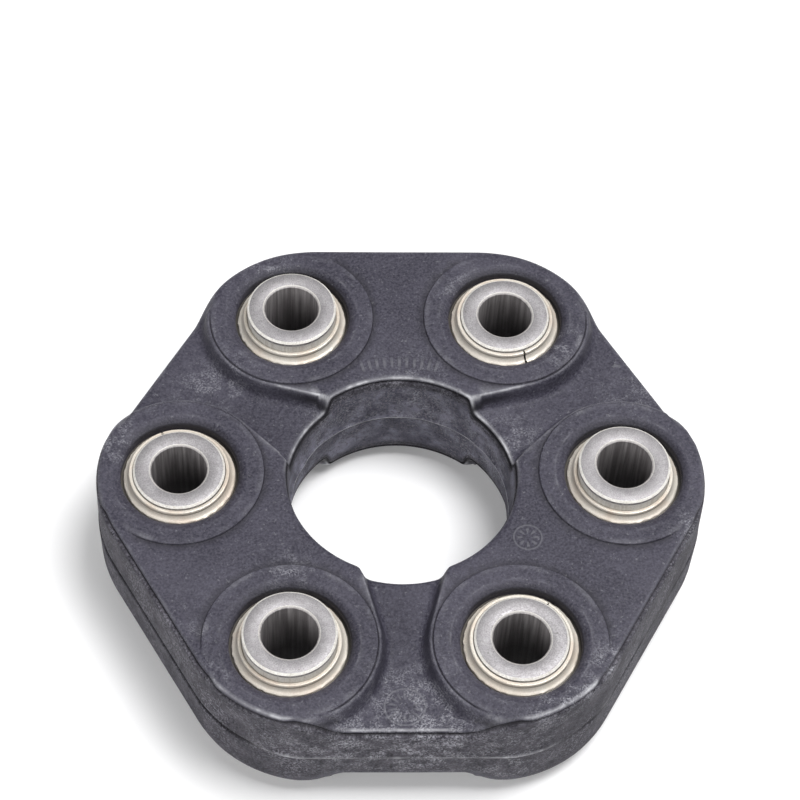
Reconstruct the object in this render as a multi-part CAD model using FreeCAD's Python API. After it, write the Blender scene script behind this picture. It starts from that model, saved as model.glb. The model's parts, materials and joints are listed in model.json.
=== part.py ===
import FreeCAD, Part
import math
import os

# A flexible coupling disc for a propeller shaft. Bushings 1, 3 and 5 stand out
# above and bolt to one flange, bushings 2, 4 and 6 stand out below and bolt to the
# other. Wound cord loops join each bushing to its two neighbours, alternately as
# one middle pack (thin links) and as an upper and a lower pack (thick links), and
# one rubber moulding binds them all. Z runs along the shaft, the origin is the
# centre of the disc and bushing 1 lies on +X.

# bushings, in millimetres
BUSHING_COUNT = 6
BOLT_CIRCLE_RADIUS = 48.0
BORE_RADIUS = 6.0
SLEEVE_WALL = 3.92
SLEEVE_CHAMFER = 0.45
LONG_STANDOUT = 3.0
SHORT_STANDOUT = 0.75

# split end collars
HUB_WALL = 0.95
HUB_HEIGHT = 2.15
HUB_EDGE_ROUND = 0.2
COVE_RADIUS = 1.06
FLANGE_THICKNESS = 1.3
FLANGE_OVERHANG = 0.5
SLIT_WIDTH = 0.45
TOP_SLIT_ANGLES = (96.0, -68.0, 84.0, 112.0, 70.0, 55.0)
BOTTOM_SLIT_ANGLES = (-84.0, 118.0, -35.0, 20.0, 150.0, -100.0)

# cord packs and the steel rings between them
MIDDLE_PACK_HEIGHT = 7.5
OUTER_PACK_HEIGHT = 6.4
PACK_WIDTH = 5.08
SEPARATOR_THICKNESS = 1.0

# rubber over the inserts
BOSS_COVER = 1.95
BOSS_SIDE_COVER = 3.3
THICK_LINK_COVER = 2.95
THIN_LINK_COVER = 5.95
LINK_SIDE_COVER = 4.83
HOLE_SIDE_COVER = 2.32
CORNER_RADIUS = 29.7

# finer forms of the rubber
WALL_DRAFT_DEGREES = 1.0
HOLE_DRAFT_DEGREES = 2.4
OUTER_EDGE_ROUND = 1.6
THICK_HOLE_ROUND = 1.2
THIN_HOLE_ROUND = 2.4
SEAM_RIDGE_HEIGHT = 0.25
SEAM_RIDGE_WIDTH = 0.7
PLATEAU_MARGIN = 0.75
PLATEAU_EDGE_ROUND = 0.6
PLATEAU_DRAFT_DEGREES = 12.0
PLATEAU_FOOT_ROUND = 1.6
PLATEAU_CORNER_DEGREES = 135.0
MOUTH_CLEARANCE = 0.73
MOUTH_DEPTH = 1.0
MOUTH_FLARE = 0.14
DISH_WIDTH = 1.95
FOOT_SINK = 0.03

UP = FreeCAD.Vector(0, 0, 1)
ORIGIN = FreeCAD.Vector(0, 0, 0)
SECTOR_DEGREES = 360.0 / BUSHING_COUNT
HALF_SECTOR = math.radians(SECTOR_DEGREES / 2)
SPARE = 2.0
FLAT_TOLERANCE = 1e-6

# radii about a bushing's own axis
sleeve_radius = BORE_RADIUS + SLEEVE_WALL
hub_radius = sleeve_radius + HUB_WALL
pack_radius = sleeve_radius + PACK_WIDTH
flange_radius = pack_radius + FLANGE_OVERHANG
boss_radius = pack_radius + BOSS_SIDE_COVER
plateau_radius = boss_radius + PLATEAU_MARGIN
mouth_radius = hub_radius + COVE_RADIUS + MOUTH_CLEARANCE
lip_radius = mouth_radius + MOUTH_FLARE
dish_radius = lip_radius + DISH_WIDTH

# heights above the middle plane
middle_pack_top = MIDDLE_PACK_HEIGHT / 2
outer_pack_bottom = middle_pack_top + SEPARATOR_THICKNESS
outer_pack_top = outer_pack_bottom + OUTER_PACK_HEIGHT
flange_top = outer_pack_top + FLANGE_THICKNESS
hub_top = flange_top + HUB_HEIGHT
boss_top = flange_top + BOSS_COVER
thick_top = outer_pack_top + THICK_LINK_COVER
thin_top = middle_pack_top + THIN_LINK_COVER
long_end = hub_top + LONG_STANDOUT
short_end = hub_top + SHORT_STANDOUT

# distances from the shaft's axis
link_line = BOLT_CIRCLE_RADIUS * math.cos(HALF_SECTOR)
side_distance = link_line + pack_radius + LINK_SIDE_COVER
hole_radius = link_line - pack_radius - HOLE_SIDE_COVER
corner_centre = (side_distance - CORNER_RADIUS) / math.cos(HALF_SECTOR)


def at_angle(radius, degrees, z=0.0):
    """A point at this radius and angle about the shaft's axis."""
    turn = math.radians(degrees)
    return FreeCAD.Vector(radius * math.cos(turn), radius * math.sin(turn), z)


def bushing_angle(number):
    return SECTOR_DEGREES * (number - 1)


def bushing_centre(number, z=0.0):
    return at_angle(BOLT_CIRCLE_RADIUS, bushing_angle(number), z)


def stands_up(number):
    """True for the bushings whose long end is above."""
    return number % 2 == 1


def is_thick(link):
    """Link n joins bushing n to the next one, and every second link is thick."""
    return link % 2 == 0


def next_bushing(number):
    return number % BUSHING_COUNT + 1


def polygon(corners):
    return Part.makePolygon(corners + corners[:1])


def revolved(wire):
    """A solid from a closed wire in the XZ plane, turned about the Z axis."""
    return Part.Face(wire).revolve(ORIGIN, UP, 360.0)


def xz(radius, z):
    return FreeCAD.Vector(radius, 0, z)


def mirrored_below(shape):
    return shape.mirror(ORIGIN, UP)


def at_bushing(shape, number):
    """A copy of a shape drawn about the Z axis, moved and turned to its bushing."""
    placed = shape.copy()
    placed.rotate(ORIGIN, UP, bushing_angle(number))
    placed.translate(bushing_centre(number))
    return placed


def make_sleeve():
    """The bolt sleeve, long end up, with both mouths and both outer edges chamfered."""
    low = -short_end
    c = SLEEVE_CHAMFER
    return revolved(polygon([
        xz(BORE_RADIUS, low + c), xz(BORE_RADIUS + c, low),
        xz(sleeve_radius - c, low), xz(sleeve_radius, low + c),
        xz(sleeve_radius, long_end - c), xz(sleeve_radius - c, long_end),
        xz(BORE_RADIUS + c, long_end), xz(BORE_RADIUS, long_end - c),
    ]))


def make_collar(slit_degrees):
    """A pressed ring: a hub that runs through a hollow cove into a flat flange."""
    shoulder = flange_top + COVE_RADIUS
    cove_foot = hub_radius + COVE_RADIUS
    cove_centre = xz(cove_foot, shoulder)
    cove_middle = cove_centre + xz(-COVE_RADIUS, -COVE_RADIUS) * math.sqrt(0.5)
    edge = HUB_EDGE_ROUND
    edge_middle = xz(hub_radius - edge, hub_top - edge) + xz(edge, edge) * math.sqrt(0.5)
    corners = [
        xz(cove_foot, flange_top), xz(flange_radius, flange_top),
        xz(flange_radius, outer_pack_top), xz(sleeve_radius, outer_pack_top),
        xz(sleeve_radius, hub_top), xz(hub_radius - edge, hub_top),
    ]
    edges = [Part.makeLine(a, b) for a, b in zip(corners, corners[1:])]
    edges.append(Part.Arc(corners[-1], edge_middle, xz(hub_radius, hub_top - edge)).toShape())
    edges.append(Part.makeLine(xz(hub_radius, hub_top - edge), xz(hub_radius, shoulder)))
    edges.append(Part.Arc(xz(hub_radius, shoulder), cove_middle, corners[0]).toShape())
    ring = revolved(Part.Wire(edges))
    slit = Part.makeBox(
        flange_radius, SLIT_WIDTH, hub_top,
        FreeCAD.Vector(0, -SLIT_WIDTH / 2, flange_top),
    )
    slit.rotate(ORIGIN, UP, slit_degrees)
    return ring.cut(slit)


def make_separator():
    outer = Part.makeCylinder(flange_radius, SEPARATOR_THICKNESS, xz(0, middle_pack_top))
    return outer.cut(Part.makeCylinder(sleeve_radius, SEPARATOR_THICKNESS, xz(0, middle_pack_top)))


def belt_face(link, radius, z):
    """The flat shape of a belt pulled round a link's two bushings."""
    ends = [bushing_centre(link, z), bushing_centre(next_bushing(link), z)]
    along = (ends[1] - ends[0]).normalize()
    out = along.cross(UP)
    first = [ends[0] + out * radius, ends[0] - along * radius, ends[0] - out * radius]
    last = [ends[1] - out * radius, ends[1] + along * radius, ends[1] + out * radius]
    return Part.Face(Part.Wire([
        Part.Arc(*first).toShape(), Part.makeLine(first[2], last[0]),
        Part.Arc(*last).toShape(), Part.makeLine(last[2], first[0]),
    ]))


def make_pack(link, low, high):
    """One wound loop of cord round the two sleeves of a link."""
    loop = belt_face(link, pack_radius, low).cut(belt_face(link, sleeve_radius, low))
    return loop.extrude(UP * (high - low))


def outline_wire(inset, z):
    """The six-sided outline: flat sides with an arc round each bushing."""
    edges = []
    radius = CORNER_RADIUS - inset
    for number in range(1, BUSHING_COUNT + 1):
        angle = bushing_angle(number)
        centre = at_angle(corner_centre, angle, z)
        arc = [centre + at_angle(radius, angle + swing * SECTOR_DEGREES / 2) for swing in (-1, 0, 1)]
        following = at_angle(corner_centre, angle + SECTOR_DEGREES, z)
        side_end = following + at_angle(radius, angle + SECTOR_DEGREES / 2)
        edges.append(Part.Arc(*arc).toShape())
        edges.append(Part.makeLine(arc[2], side_end))
    return Part.Wire(edges)


def outline_body(top):
    """The outline at one thickness, drafted from the seam, its long edges rounded."""
    inset = top * math.tan(math.radians(WALL_DRAFT_DEGREES))
    levels = [outline_wire(inset, -top), outline_wire(0.0, 0.0), outline_wire(inset, top)]
    body = Part.makeLoft(levels, True, True)
    rims = [edge for edge in body.Edges if abs(abs(edge.CenterOfMass.z) - top) < FLAT_TOLERANCE]
    return body.makeFillet(OUTER_EDGE_ROUND, rims)


def hole_cutter(top, edge_round):
    """The central hole at one thickness: drafted both ways from a ridge at the seam."""
    draft = math.tan(math.radians(HOLE_DRAFT_DEGREES))
    start = top - edge_round
    wall = hole_radius + start * draft
    centre = xz(wall + edge_round, start)
    middle = centre + xz(-edge_round, edge_round) * math.sqrt(0.5)
    ridge = SEAM_RIDGE_WIDTH / 2
    corners = [
        xz(wall + edge_round, top), xz(wall + edge_round, top + SPARE), xz(0, top + SPARE),
        xz(0, 0), xz(hole_radius - SEAM_RIDGE_HEIGHT, 0), xz(hole_radius, ridge), xz(wall, start),
    ]
    edges = [Part.makeLine(a, b) for a, b in zip(corners, corners[1:])]
    edges.append(Part.Arc(corners[-1], middle, corners[0]).toShape())
    upper = revolved(Part.Wire(edges))
    return upper.fuse(mirrored_below(upper))


def plateau_wire(link, radius, z):
    """The edge of a thick link's raised top, at one height.

    Beyond the outline it runs wide of both bushings. It goes round the outer side
    of each, follows the bushing's circle on the side of the thin link, and then
    runs straight on to the central hole.
    """
    middle = bushing_angle(link) + SECTOR_DEGREES / 2
    peak = at_angle((BOLT_CIRCLE_RADIUS + radius) / math.cos(HALF_SECTOR), middle, z)
    inner_reach = radius / math.sin(math.radians(PLATEAU_CORNER_DEGREES - 90.0))
    arcs = []
    inners = []
    for number, side in ((link, -1), (next_bushing(link), 1)):
        angle = bushing_angle(number)
        centre = bushing_centre(number, z)
        swings = (0.0, PLATEAU_CORNER_DEGREES / 2, PLATEAU_CORNER_DEGREES)
        arcs.append([centre + at_angle(radius, angle + side * swing) for swing in swings])
        inners.append(at_angle(BOLT_CIRCLE_RADIUS - inner_reach, angle, z))
    first, last = arcs
    return Part.Wire([
        Part.makeLine(peak, first[0]), Part.Arc(*first).toShape(),
        Part.makeLine(first[2], inners[0]), Part.makeLine(inners[0], inners[1]),
        Part.makeLine(inners[1], last[2]), Part.Arc(last[2], last[1], last[0]).toShape(),
        Part.makeLine(last[0], peak),
    ])


def plateau_block(link):
    """The raised part of a thick link above the thin links' faces, sloped and rounded."""
    foot = thin_top - THIN_HOLE_ROUND
    spread = (thick_top - foot) * math.tan(math.radians(PLATEAU_DRAFT_DEGREES))
    levels = [
        plateau_wire(link, plateau_radius + spread, foot),
        plateau_wire(link, plateau_radius, thick_top),
    ]
    block = Part.makeLoft(levels, True, True)
    rim = [edge for edge in block.Edges if abs(edge.CenterOfMass.z - thick_top) < FLAT_TOLERANCE]
    return block.makeFillet(PLATEAU_EDGE_ROUND, rim)


def recess_cutter():
    """The dished mouth in the rubber over one collar, down to the collar's flange."""
    lip = flange_top + MOUTH_DEPTH
    return revolved(polygon([
        xz(0, flange_top), xz(mouth_radius, flange_top), xz(lip_radius, lip),
        xz(dish_radius, boss_top), xz(dish_radius, boss_top + SPARE), xz(0, boss_top + SPARE),
    ]))


def foot_profile():
    """The hollow between a plateau's wall and the thin link's face, for any run of it.

    Drawn in the XZ plane with X counted from the bushing's axis. It is sunk a
    little into both faces, so that it joins them along clean lines.
    """
    slope = math.radians(PLATEAU_DRAFT_DEGREES)
    wall_foot = plateau_radius + (thick_top - thin_top) * math.tan(slope)
    reach = PLATEAU_FOOT_ROUND * (1 - math.sin(slope)) / math.cos(slope)
    centre = xz(wall_foot + reach - FOOT_SINK, thin_top + PLATEAU_FOOT_ROUND - FOOT_SINK)
    bearings = (math.pi + slope, math.pi * 1.25 + slope / 2, math.pi * 1.5)
    arc = [centre + xz(math.cos(b), math.sin(b)) * PLATEAU_FOOT_ROUND for b in bearings]
    root = thin_top - PLATEAU_FOOT_ROUND
    inside = wall_foot - PLATEAU_FOOT_ROUND
    return Part.Face(Part.Wire([
        Part.Arc(*arc).toShape(), Part.makeLine(arc[2], xz(arc[2].x, root)),
        Part.makeLine(xz(arc[2].x, root), xz(inside, root)),
        Part.makeLine(xz(inside, root), xz(inside, arc[0].z)),
        Part.makeLine(xz(inside, arc[0].z), arc[0]),
    ]))


def foot_strips(link):
    """The hollow foot of one plateau: round each bushing, then straight to the hole."""
    run_length = plateau_radius / math.tan(math.radians(PLATEAU_CORNER_DEGREES - 90.0))
    strips = []
    for number, side in ((link, -1), (next_bushing(link), 1)):
        angle = bushing_angle(number)
        face = foot_profile()
        face.rotate(ORIGIN, UP, angle)
        face.translate(bushing_centre(number))
        bend = face.revolve(bushing_centre(number), UP * side, PLATEAU_CORNER_DEGREES)
        end_face = face.copy()
        end_face.rotate(bushing_centre(number), UP, side * PLATEAU_CORNER_DEGREES)
        run = at_angle(run_length, angle + side * (PLATEAU_CORNER_DEGREES + 90.0))
        strips += [bend, end_face.extrude(run)]
    return strips


def make_raw_rubber():
    """The moulding with its hole, plateaus and bosses, before the inserts come out."""
    body = outline_body(thin_top).cut(hole_cutter(thin_top, THIN_HOLE_ROUND))
    thick_limit = outline_body(thick_top).cut(hole_cutter(thick_top, THICK_HOLE_ROUND))
    boss_limit = outline_body(boss_top)
    upper = []
    for link in range(1, BUSHING_COUNT + 1):
        if is_thick(link):
            forms = [plateau_block(link)] + foot_strips(link)
            upper += [form.common(thick_limit) for form in forms]
    for number in range(1, BUSHING_COUNT + 1):
        boss = Part.makeCylinder(boss_radius, boss_top, bushing_centre(number))
        upper.append(boss.common(boss_limit))
    raised = upper + [mirrored_below(form) for form in upper]
    return body.multiFuse(raised).removeSplitter()


def make_rubber(inserts):
    """The moulding: the raw form less the dished mouths, the bolt bores and every insert."""
    upper_mouth = recess_cutter()
    bore = Part.makeCylinder(sleeve_radius, 2 * boss_top, xz(0, -boss_top))
    cutters = [upper_mouth, mirrored_below(upper_mouth), bore]
    placed = [at_bushing(tool, n) for n in range(1, BUSHING_COUNT + 1) for tool in cutters]
    return make_raw_rubber().cut(placed).cut(inserts)


def make_inserts():
    """Every sleeve, collar, separator and cord pack, in place, by node name."""
    inserts = {}
    separator = make_separator()
    for number in range(1, BUSHING_COUNT + 1):
        sleeve = make_sleeve()
        if not stands_up(number):
            sleeve = mirrored_below(sleeve)
        top = make_collar(TOP_SLIT_ANGLES[number - 1] - bushing_angle(number))
        bottom = mirrored_below(make_collar(BOTTOM_SLIT_ANGLES[number - 1] - bushing_angle(number)))
        inserts[f"sleeve_{number}"] = at_bushing(sleeve, number)
        inserts[f"top_collar_{number}"] = at_bushing(top, number)
        inserts[f"bottom_collar_{number}"] = at_bushing(bottom, number)
        inserts[f"upper_separator_{number}"] = at_bushing(separator, number)
        inserts[f"lower_separator_{number}"] = at_bushing(mirrored_below(separator), number)
    for link in range(1, BUSHING_COUNT + 1):
        pair = f"{link}_{next_bushing(link)}"
        if is_thick(link):
            upper = make_pack(link, outer_pack_bottom, outer_pack_top)
            inserts[f"upper_cord_pack_{pair}"] = upper
            inserts[f"lower_cord_pack_{pair}"] = mirrored_below(upper)
        else:
            inserts[f"middle_cord_pack_{pair}"] = make_pack(link, -middle_pack_top, middle_pack_top)
    return inserts


def save(shape, name):
    shape.Solids[0].exportStep(os.path.join("parts", name + ".step"))


os.makedirs("parts", exist_ok=True)
pieces = make_inserts()
bonded = [shape for name, shape in pieces.items() if not name.startswith("sleeve")]
pieces["rubber_body"] = make_rubber(bonded)
for name, shape in pieces.items():
    save(shape, name)
    print(name, "solids", len(shape.Solids), "valid", shape.isValid(), "volume", round(shape.Volume, 1))
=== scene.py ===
# %% [markdown]
# # A rubber flex disc on a white table
#
# The subject is a flexible coupling disc from a car's propeller shaft: a thick
# six-sided rubber moulding with six steel bolt sleeves, each held at both ends by a
# pressed, yellow-plated collar. The construction is already settled in a packed
# frame, so this lesson only dresses it: every piece is placed by what the frame says.

# %% Load the frame
import json
import math
import bpy
import numpy as np
from mathutils import Matrix, Vector, geometry


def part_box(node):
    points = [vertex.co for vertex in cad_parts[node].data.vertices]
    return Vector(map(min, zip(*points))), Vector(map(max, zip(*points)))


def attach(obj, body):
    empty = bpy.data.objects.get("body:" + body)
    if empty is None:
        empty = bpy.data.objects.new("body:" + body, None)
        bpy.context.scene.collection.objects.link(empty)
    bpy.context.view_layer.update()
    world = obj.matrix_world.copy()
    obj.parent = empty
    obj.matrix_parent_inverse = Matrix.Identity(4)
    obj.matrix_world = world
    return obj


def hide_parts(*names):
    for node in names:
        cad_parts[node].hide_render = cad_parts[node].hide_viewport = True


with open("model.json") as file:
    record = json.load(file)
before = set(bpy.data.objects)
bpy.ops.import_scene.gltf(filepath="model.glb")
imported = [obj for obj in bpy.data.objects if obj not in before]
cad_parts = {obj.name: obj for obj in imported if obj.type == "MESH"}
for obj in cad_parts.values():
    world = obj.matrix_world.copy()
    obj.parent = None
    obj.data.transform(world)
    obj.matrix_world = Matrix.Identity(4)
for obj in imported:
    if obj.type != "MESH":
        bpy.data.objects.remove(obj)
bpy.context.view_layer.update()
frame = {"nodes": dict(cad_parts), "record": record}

MM = 0.001
print("frame loaded:", len(frame["nodes"]), "nodes")

# %% [markdown]
# ## Sizes
#
# The mesh code works in millimetres and turns them into metres at the end. What
# the frame can say is read from it: the bolt circle from the record's mount, the
# outline's reach and the collars' heights from the boxes of their nodes. Only the
# forms that no box shows, such as the height of a thin link, are written here.

# %% Read the sizes from the frame
mounts = {mount["name"]: mount for mount in frame["record"]["mounts"]}
bolt_dims = mounts["upper_flange_bolts"]["dims"]
BOLT_CIRCLE = bolt_dims["pcd_mm"] / 2
BORE_RADIUS = bolt_dims["hole_r_mm"]


def box_mm(node):
    """The lowest and highest corner of a node, in millimetres."""
    low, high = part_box(node)
    return np.array(low) / MM, np.array(high) / MM


rubber_low, rubber_high = box_mm("rubber_body")
collar_low, collar_high = box_mm("top_collar_1")
sleeve_high = box_mm("sleeve_1")[1]
SIDE = rubber_high[1]
REACH = rubber_high[0]
BOSS_TOP = rubber_high[2]
FLANGE_RADIUS = (collar_high[0] - collar_low[0]) / 2
FLANGE_UNDERSIDE = collar_low[2]
SLEEVE_RADIUS = sleeve_high[1]
HALF_HEIGHT = sleeve_high[2]
print("bolt circle radius", BOLT_CIRCLE, "half height", round(HALF_HEIGHT, 2))

# %% Add the sizes that no box shows
BUSHINGS = 6
SECTOR = math.tau / BUSHINGS
RING_STEP = 0.3
THICK_TOP = BOSS_TOP - RING_STEP
THIN_TOP = 9.7
FLANGE_THICKNESS = 1.3
FLANGE_TOP = FLANGE_UNDERSIDE + FLANGE_THICKNESS
BOSS_RADIUS = 18.3
PLATEAU_RADIUS = 19.05
HOLE_RADIUS = 24.25
corner_gap = math.cos(SECTOR / 2)
CORNER_RADIUS = (SIDE - REACH * corner_gap) / (1 - corner_gap)
CORNER_CENTRE = REACH - CORNER_RADIUS
print("side", round(SIDE, 2), "reach", round(REACH, 2), "corner arc", round(CORNER_RADIUS, 2))

# %% [markdown]
# ## The camera
#
# The picture was taken from above and slightly from the left, about half a metre
# away with a long lens. The camera stands on that line: azimuth, elevation and
# roll turn it, and two small shifts slide it across its own view, so the lens
# itself needs no shift.

# %% Aim the camera
CAMERA_AZIMUTH = -3.68
CAMERA_ELEVATION = 55.29
CAMERA_ROLL = 3.15
CAMERA_DISTANCE = 551.7
CAMERA_SLIDE_RIGHT = -1.27
CAMERA_SLIDE_UP = 13.59

azimuth = math.radians(CAMERA_AZIMUTH)
elevation = math.radians(CAMERA_ELEVATION)
roll = math.radians(CAMERA_ROLL)
back = Vector((
    math.sin(azimuth) * math.cos(elevation),
    -math.cos(azimuth) * math.cos(elevation),
    math.sin(elevation),
))
rightward = Vector((math.cos(azimuth), math.sin(azimuth), 0.0))
rise = back.cross(rightward)
target = Vector((0.0, 0.0, HALF_HEIGHT))
stand = target + back * CAMERA_DISTANCE + rightward * CAMERA_SLIDE_RIGHT + rise * CAMERA_SLIDE_UP
side_axis = rightward * math.cos(roll) + rise * math.sin(roll)
up_axis = rise * math.cos(roll) - rightward * math.sin(roll)
print("the camera looks along", [round(-v, 3) for v in back])

# %% Place the camera
CAMERA_LENS = 115.5
SENSOR_WIDTH = 36.0
NEAR_CLIP = 0.01

camera_data = bpy.data.cameras.new("camera")
camera_data.lens = CAMERA_LENS
camera_data.sensor_width = SENSOR_WIDTH
camera_data.clip_start = NEAR_CLIP
camera_data.dof.use_dof = False
camera = bpy.data.objects.new("camera", camera_data)
bpy.context.scene.collection.objects.link(camera)
turned = Matrix((side_axis, up_axis, back)).transposed().to_4x4()
camera.matrix_world = Matrix.Translation(stand * MM) @ turned
bpy.context.scene.camera = camera
bpy.context.scene.view_settings.view_transform = "Standard"
print("camera at", [round(v, 4) for v in camera.matrix_world.translation])

# %% [markdown]
# ## The table
#
# The disc lies on white paper. A big lit card would do it, but more light on the
# table is more light on the disc too. So the table is a plain diffuse surface, and
# a little glow of its own, seen by camera and mirror rays only, lifts it to paper
# white while the disc keeps its shadow on it.

# %% Helpers for materials


def new_material(name):
    """An empty node material with its output node."""
    material = bpy.data.materials.new(name)
    material.use_nodes = True
    material.node_tree.nodes.clear()
    output = material.node_tree.nodes.new("ShaderNodeOutputMaterial")
    return material, material.node_tree, output


def add_node(tree, kind, **settings):
    """A node with its properties set, and its plain inputs by name under inputs."""
    node = tree.nodes.new(kind)
    for key, value in settings.pop("inputs", {}).items():
        node.inputs[key].default_value = value
    for key, value in settings.items():
        setattr(node, key, value)
    return node


print("helpers:", new_material.__name__, add_node.__name__)

# %% Paper and table
TABLE_HALF = 1.5
TABLE_LIFT = 0.16
PAPER_COLOUR = (0.86, 0.86, 0.865, 1.0)
WHITE = (1.0, 1.0, 1.0, 1.0)

table_material, tree, output = new_material("table_paper")
paper = add_node(tree, "ShaderNodeBsdfDiffuse", inputs={"Color": PAPER_COLOUR})
glow = add_node(tree, "ShaderNodeEmission", inputs={"Color": WHITE})
path = add_node(tree, "ShaderNodeLightPath")
either = add_node(tree, "ShaderNodeMath", operation="MAXIMUM")
lift = add_node(tree, "ShaderNodeMath", operation="MULTIPLY", inputs={1: TABLE_LIFT})
both = add_node(tree, "ShaderNodeAddShader")
tree.links.new(path.outputs["Is Camera Ray"], either.inputs[0])
tree.links.new(path.outputs["Is Glossy Ray"], either.inputs[1])
tree.links.new(either.outputs[0], lift.inputs[0])
tree.links.new(lift.outputs[0], glow.inputs["Strength"])
tree.links.new(paper.outputs[0], both.inputs[0])
tree.links.new(glow.outputs[0], both.inputs[1])
tree.links.new(both.outputs[0], output.inputs["Surface"])

table_level = -HALF_HEIGHT * MM
table_mesh = bpy.data.meshes.new("table")
corners = [(x * TABLE_HALF, y * TABLE_HALF, table_level) for x, y in ((-1, -1), (1, -1), (1, 1), (-1, 1))]
table_mesh.from_pydata(corners, [], [(0, 1, 2, 3)])
table = bpy.data.objects.new("table", table_mesh)
table.data.materials.append(table_material)
bpy.context.scene.collection.objects.link(table)
print("table at", table_level)

# %% [markdown]
# ## The light
#
# A studio lights such a part with a few large soft boxes. A key lamp stands high
# above, a little to the right, and throws the shade to the left. A wide, weak panel
# behind keeps the far edges open, and a low panel at the left front lights the near
# walls and the rubbed edge over them. The sky fills the rest. Area lamps are used,
# because only a lamp with a size gives the wide soft edge of such a shadow.

# %% Sky and lamps
SKY_STRENGTH = 0.12
LAMPS = (
    # Name, place and width in metres, power in watts.
    ("key_lamp", (0.36, -0.03, 1.20), 0.55, 16.5),
    ("back_panel", (0.12, 0.62, 1.15), 1.20, 2.8),
    ("front_panel", (-0.64, -0.76, 0.60), 0.95, 5.8),
)

world = bpy.data.worlds.new("studio")
bpy.context.scene.world = world
world.use_nodes = True
sky = world.node_tree.nodes["Background"]
sky.inputs["Color"].default_value = WHITE
sky.inputs["Strength"].default_value = SKY_STRENGTH

for name, place, width, power in LAMPS:
    data = bpy.data.lights.new(name, "AREA")
    data.shape = "SQUARE"
    data.size = width
    data.energy = power
    lamp = bpy.data.objects.new(name, data)
    lamp.location = place
    lamp.rotation_euler = Vector(place).to_track_quat("Z", "Y").to_euler()
    bpy.context.scene.collection.objects.link(lamp)
print("lamps:", [lamp[0] for lamp in LAMPS])

# %% [markdown]
# ## The form of the moulding, seen from above
#
# A rubber moulding has hardly a sharp corner. It could be modelled by bevelling
# the frame's solid, but its soft slopes, sunken dishes and small mould steps are
# easier to say as a height over each point of the plan. So a few functions answer
# plain questions about a point: how far inside the outline it is, how far outside
# a raised plateau, how far from a bushing, and then how high the face is there.

# %% Distances in plan
PLATEAU_TURN = math.radians(135.0)


def unit(angle):
    """The direction at an angle, in plan."""
    return np.array([math.cos(angle), math.sin(angle)])


def local_to_bushing(x, y, index):
    """Coordinates from one bushing's axis: outward, and anticlockwise round the disc."""
    out = unit(SECTOR * index)
    return x * out[0] + y * out[1] - BOLT_CIRCLE, y * out[0] - x * out[1]


def nearest_bushing(x, y):
    """The number, from nought, of the bushing nearest to each point."""
    return np.round(np.arctan2(y, x) / SECTOR).astype(int) % BUSHINGS


def bushing_distance(x, y):
    """How far each point is from the nearest bushing's axis."""
    angle = nearest_bushing(x, y) * SECTOR
    return np.hypot(x - BOLT_CIRCLE * np.cos(angle), y - BOLT_CIRCLE * np.sin(angle))


def outline_inset(x, y):
    """How far each point lies inside the outline."""
    angle = nearest_bushing(x, y) * SECTOR
    outward = x * np.cos(angle) + y * np.sin(angle)
    across = np.abs(y * np.cos(angle) - x * np.sin(angle))
    along_side = outward * math.cos(SECTOR / 2) + across * math.sin(SECTOR / 2)
    beside_arc = np.arctan2(across, outward - CORNER_CENTRE) > SECTOR / 2
    from_arc = CORNER_RADIUS - np.hypot(outward - CORNER_CENTRE, across)
    return np.where(beside_arc, SIDE - along_side, from_arc)


def plateau_offset(x, y):
    """How far each point lies outside the raised plateaus, negative on top of them."""
    sector = np.floor((np.arctan2(y, x) % math.tau) / SECTOR).astype(int) % BUSHINGS
    thin = sector % 2 == 0
    offset = np.full(np.shape(x), np.inf)
    normal = unit(PLATEAU_TURN)
    for index in range(BUSHINGS):
        outward, around = local_to_bushing(x, y, index)
        side = around if index % 2 == 0 else -around
        straight = outward * normal[0] + side * normal[1] - PLATEAU_RADIUS
        bent = np.hypot(outward, side) - PLATEAU_RADIUS
        past_bend = np.arctan2(side, outward) > PLATEAU_TURN
        near = (sector == index) | ((sector + 1) % BUSHINGS == index)
        offset = np.where(near, np.minimum(offset, np.where(past_bend, straight, bent)), offset)
    return np.where(thin, offset, -PLATEAU_RADIUS)


link_middle = unit(SECTOR / 2) * BOLT_CIRCLE
middle_offset = plateau_offset(*link_middle[:, None])[0]
print("plateau offset at the middle of a thin link:", round(float(middle_offset), 2))

# %% [markdown]
# ## The height of the face
#
# Each plateau falls to the thin link over a round shoulder, a steep wall and a
# hollow foot. Round each bushing the mould's ring insert left a disc a hair
# higher, with a fine groove at its rim, and inside it the rubber dips in a dish
# to the lip over the collar. A few slow waves keep the faces from looking ruled.
# Blender could blend such forms with modifiers, but a function of the place gives
# each of them by its own size, and says the height wherever a point is wanted.

# %% Soft curves
WAVE_TERMS = 7
WAVE_SIZES = (0.7, 1.6)
WAVE_PEAK = 4.0


def smooth(value):
    """Nought to one in a soft S, and level outside."""
    value = np.clip(value, 0.0, 1.0)
    return value * value * (3.0 - 2.0 * value)


def waves(x, y, length, seed):
    """Slow seeded waves between about -1 and 1, for unevenness."""
    dice = np.random.default_rng(seed)
    total = np.zeros(np.shape(x))
    for _ in range(WAVE_TERMS):
        turn = dice.uniform(0, math.tau)
        size = length * dice.uniform(*WAVE_SIZES)
        phase = dice.uniform(0, math.tau)
        total = total + np.sin((x * math.cos(turn) + y * math.sin(turn)) * math.tau / size + phase)
    return total / WAVE_PEAK


print("half way up the soft curve:", smooth(0.5))

# %% Across a plateau's edge
WALL_SLOPE = math.radians(16.0)
SHOULDER_ROUND = 0.8
FOOT_ROUND = 1.6

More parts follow.
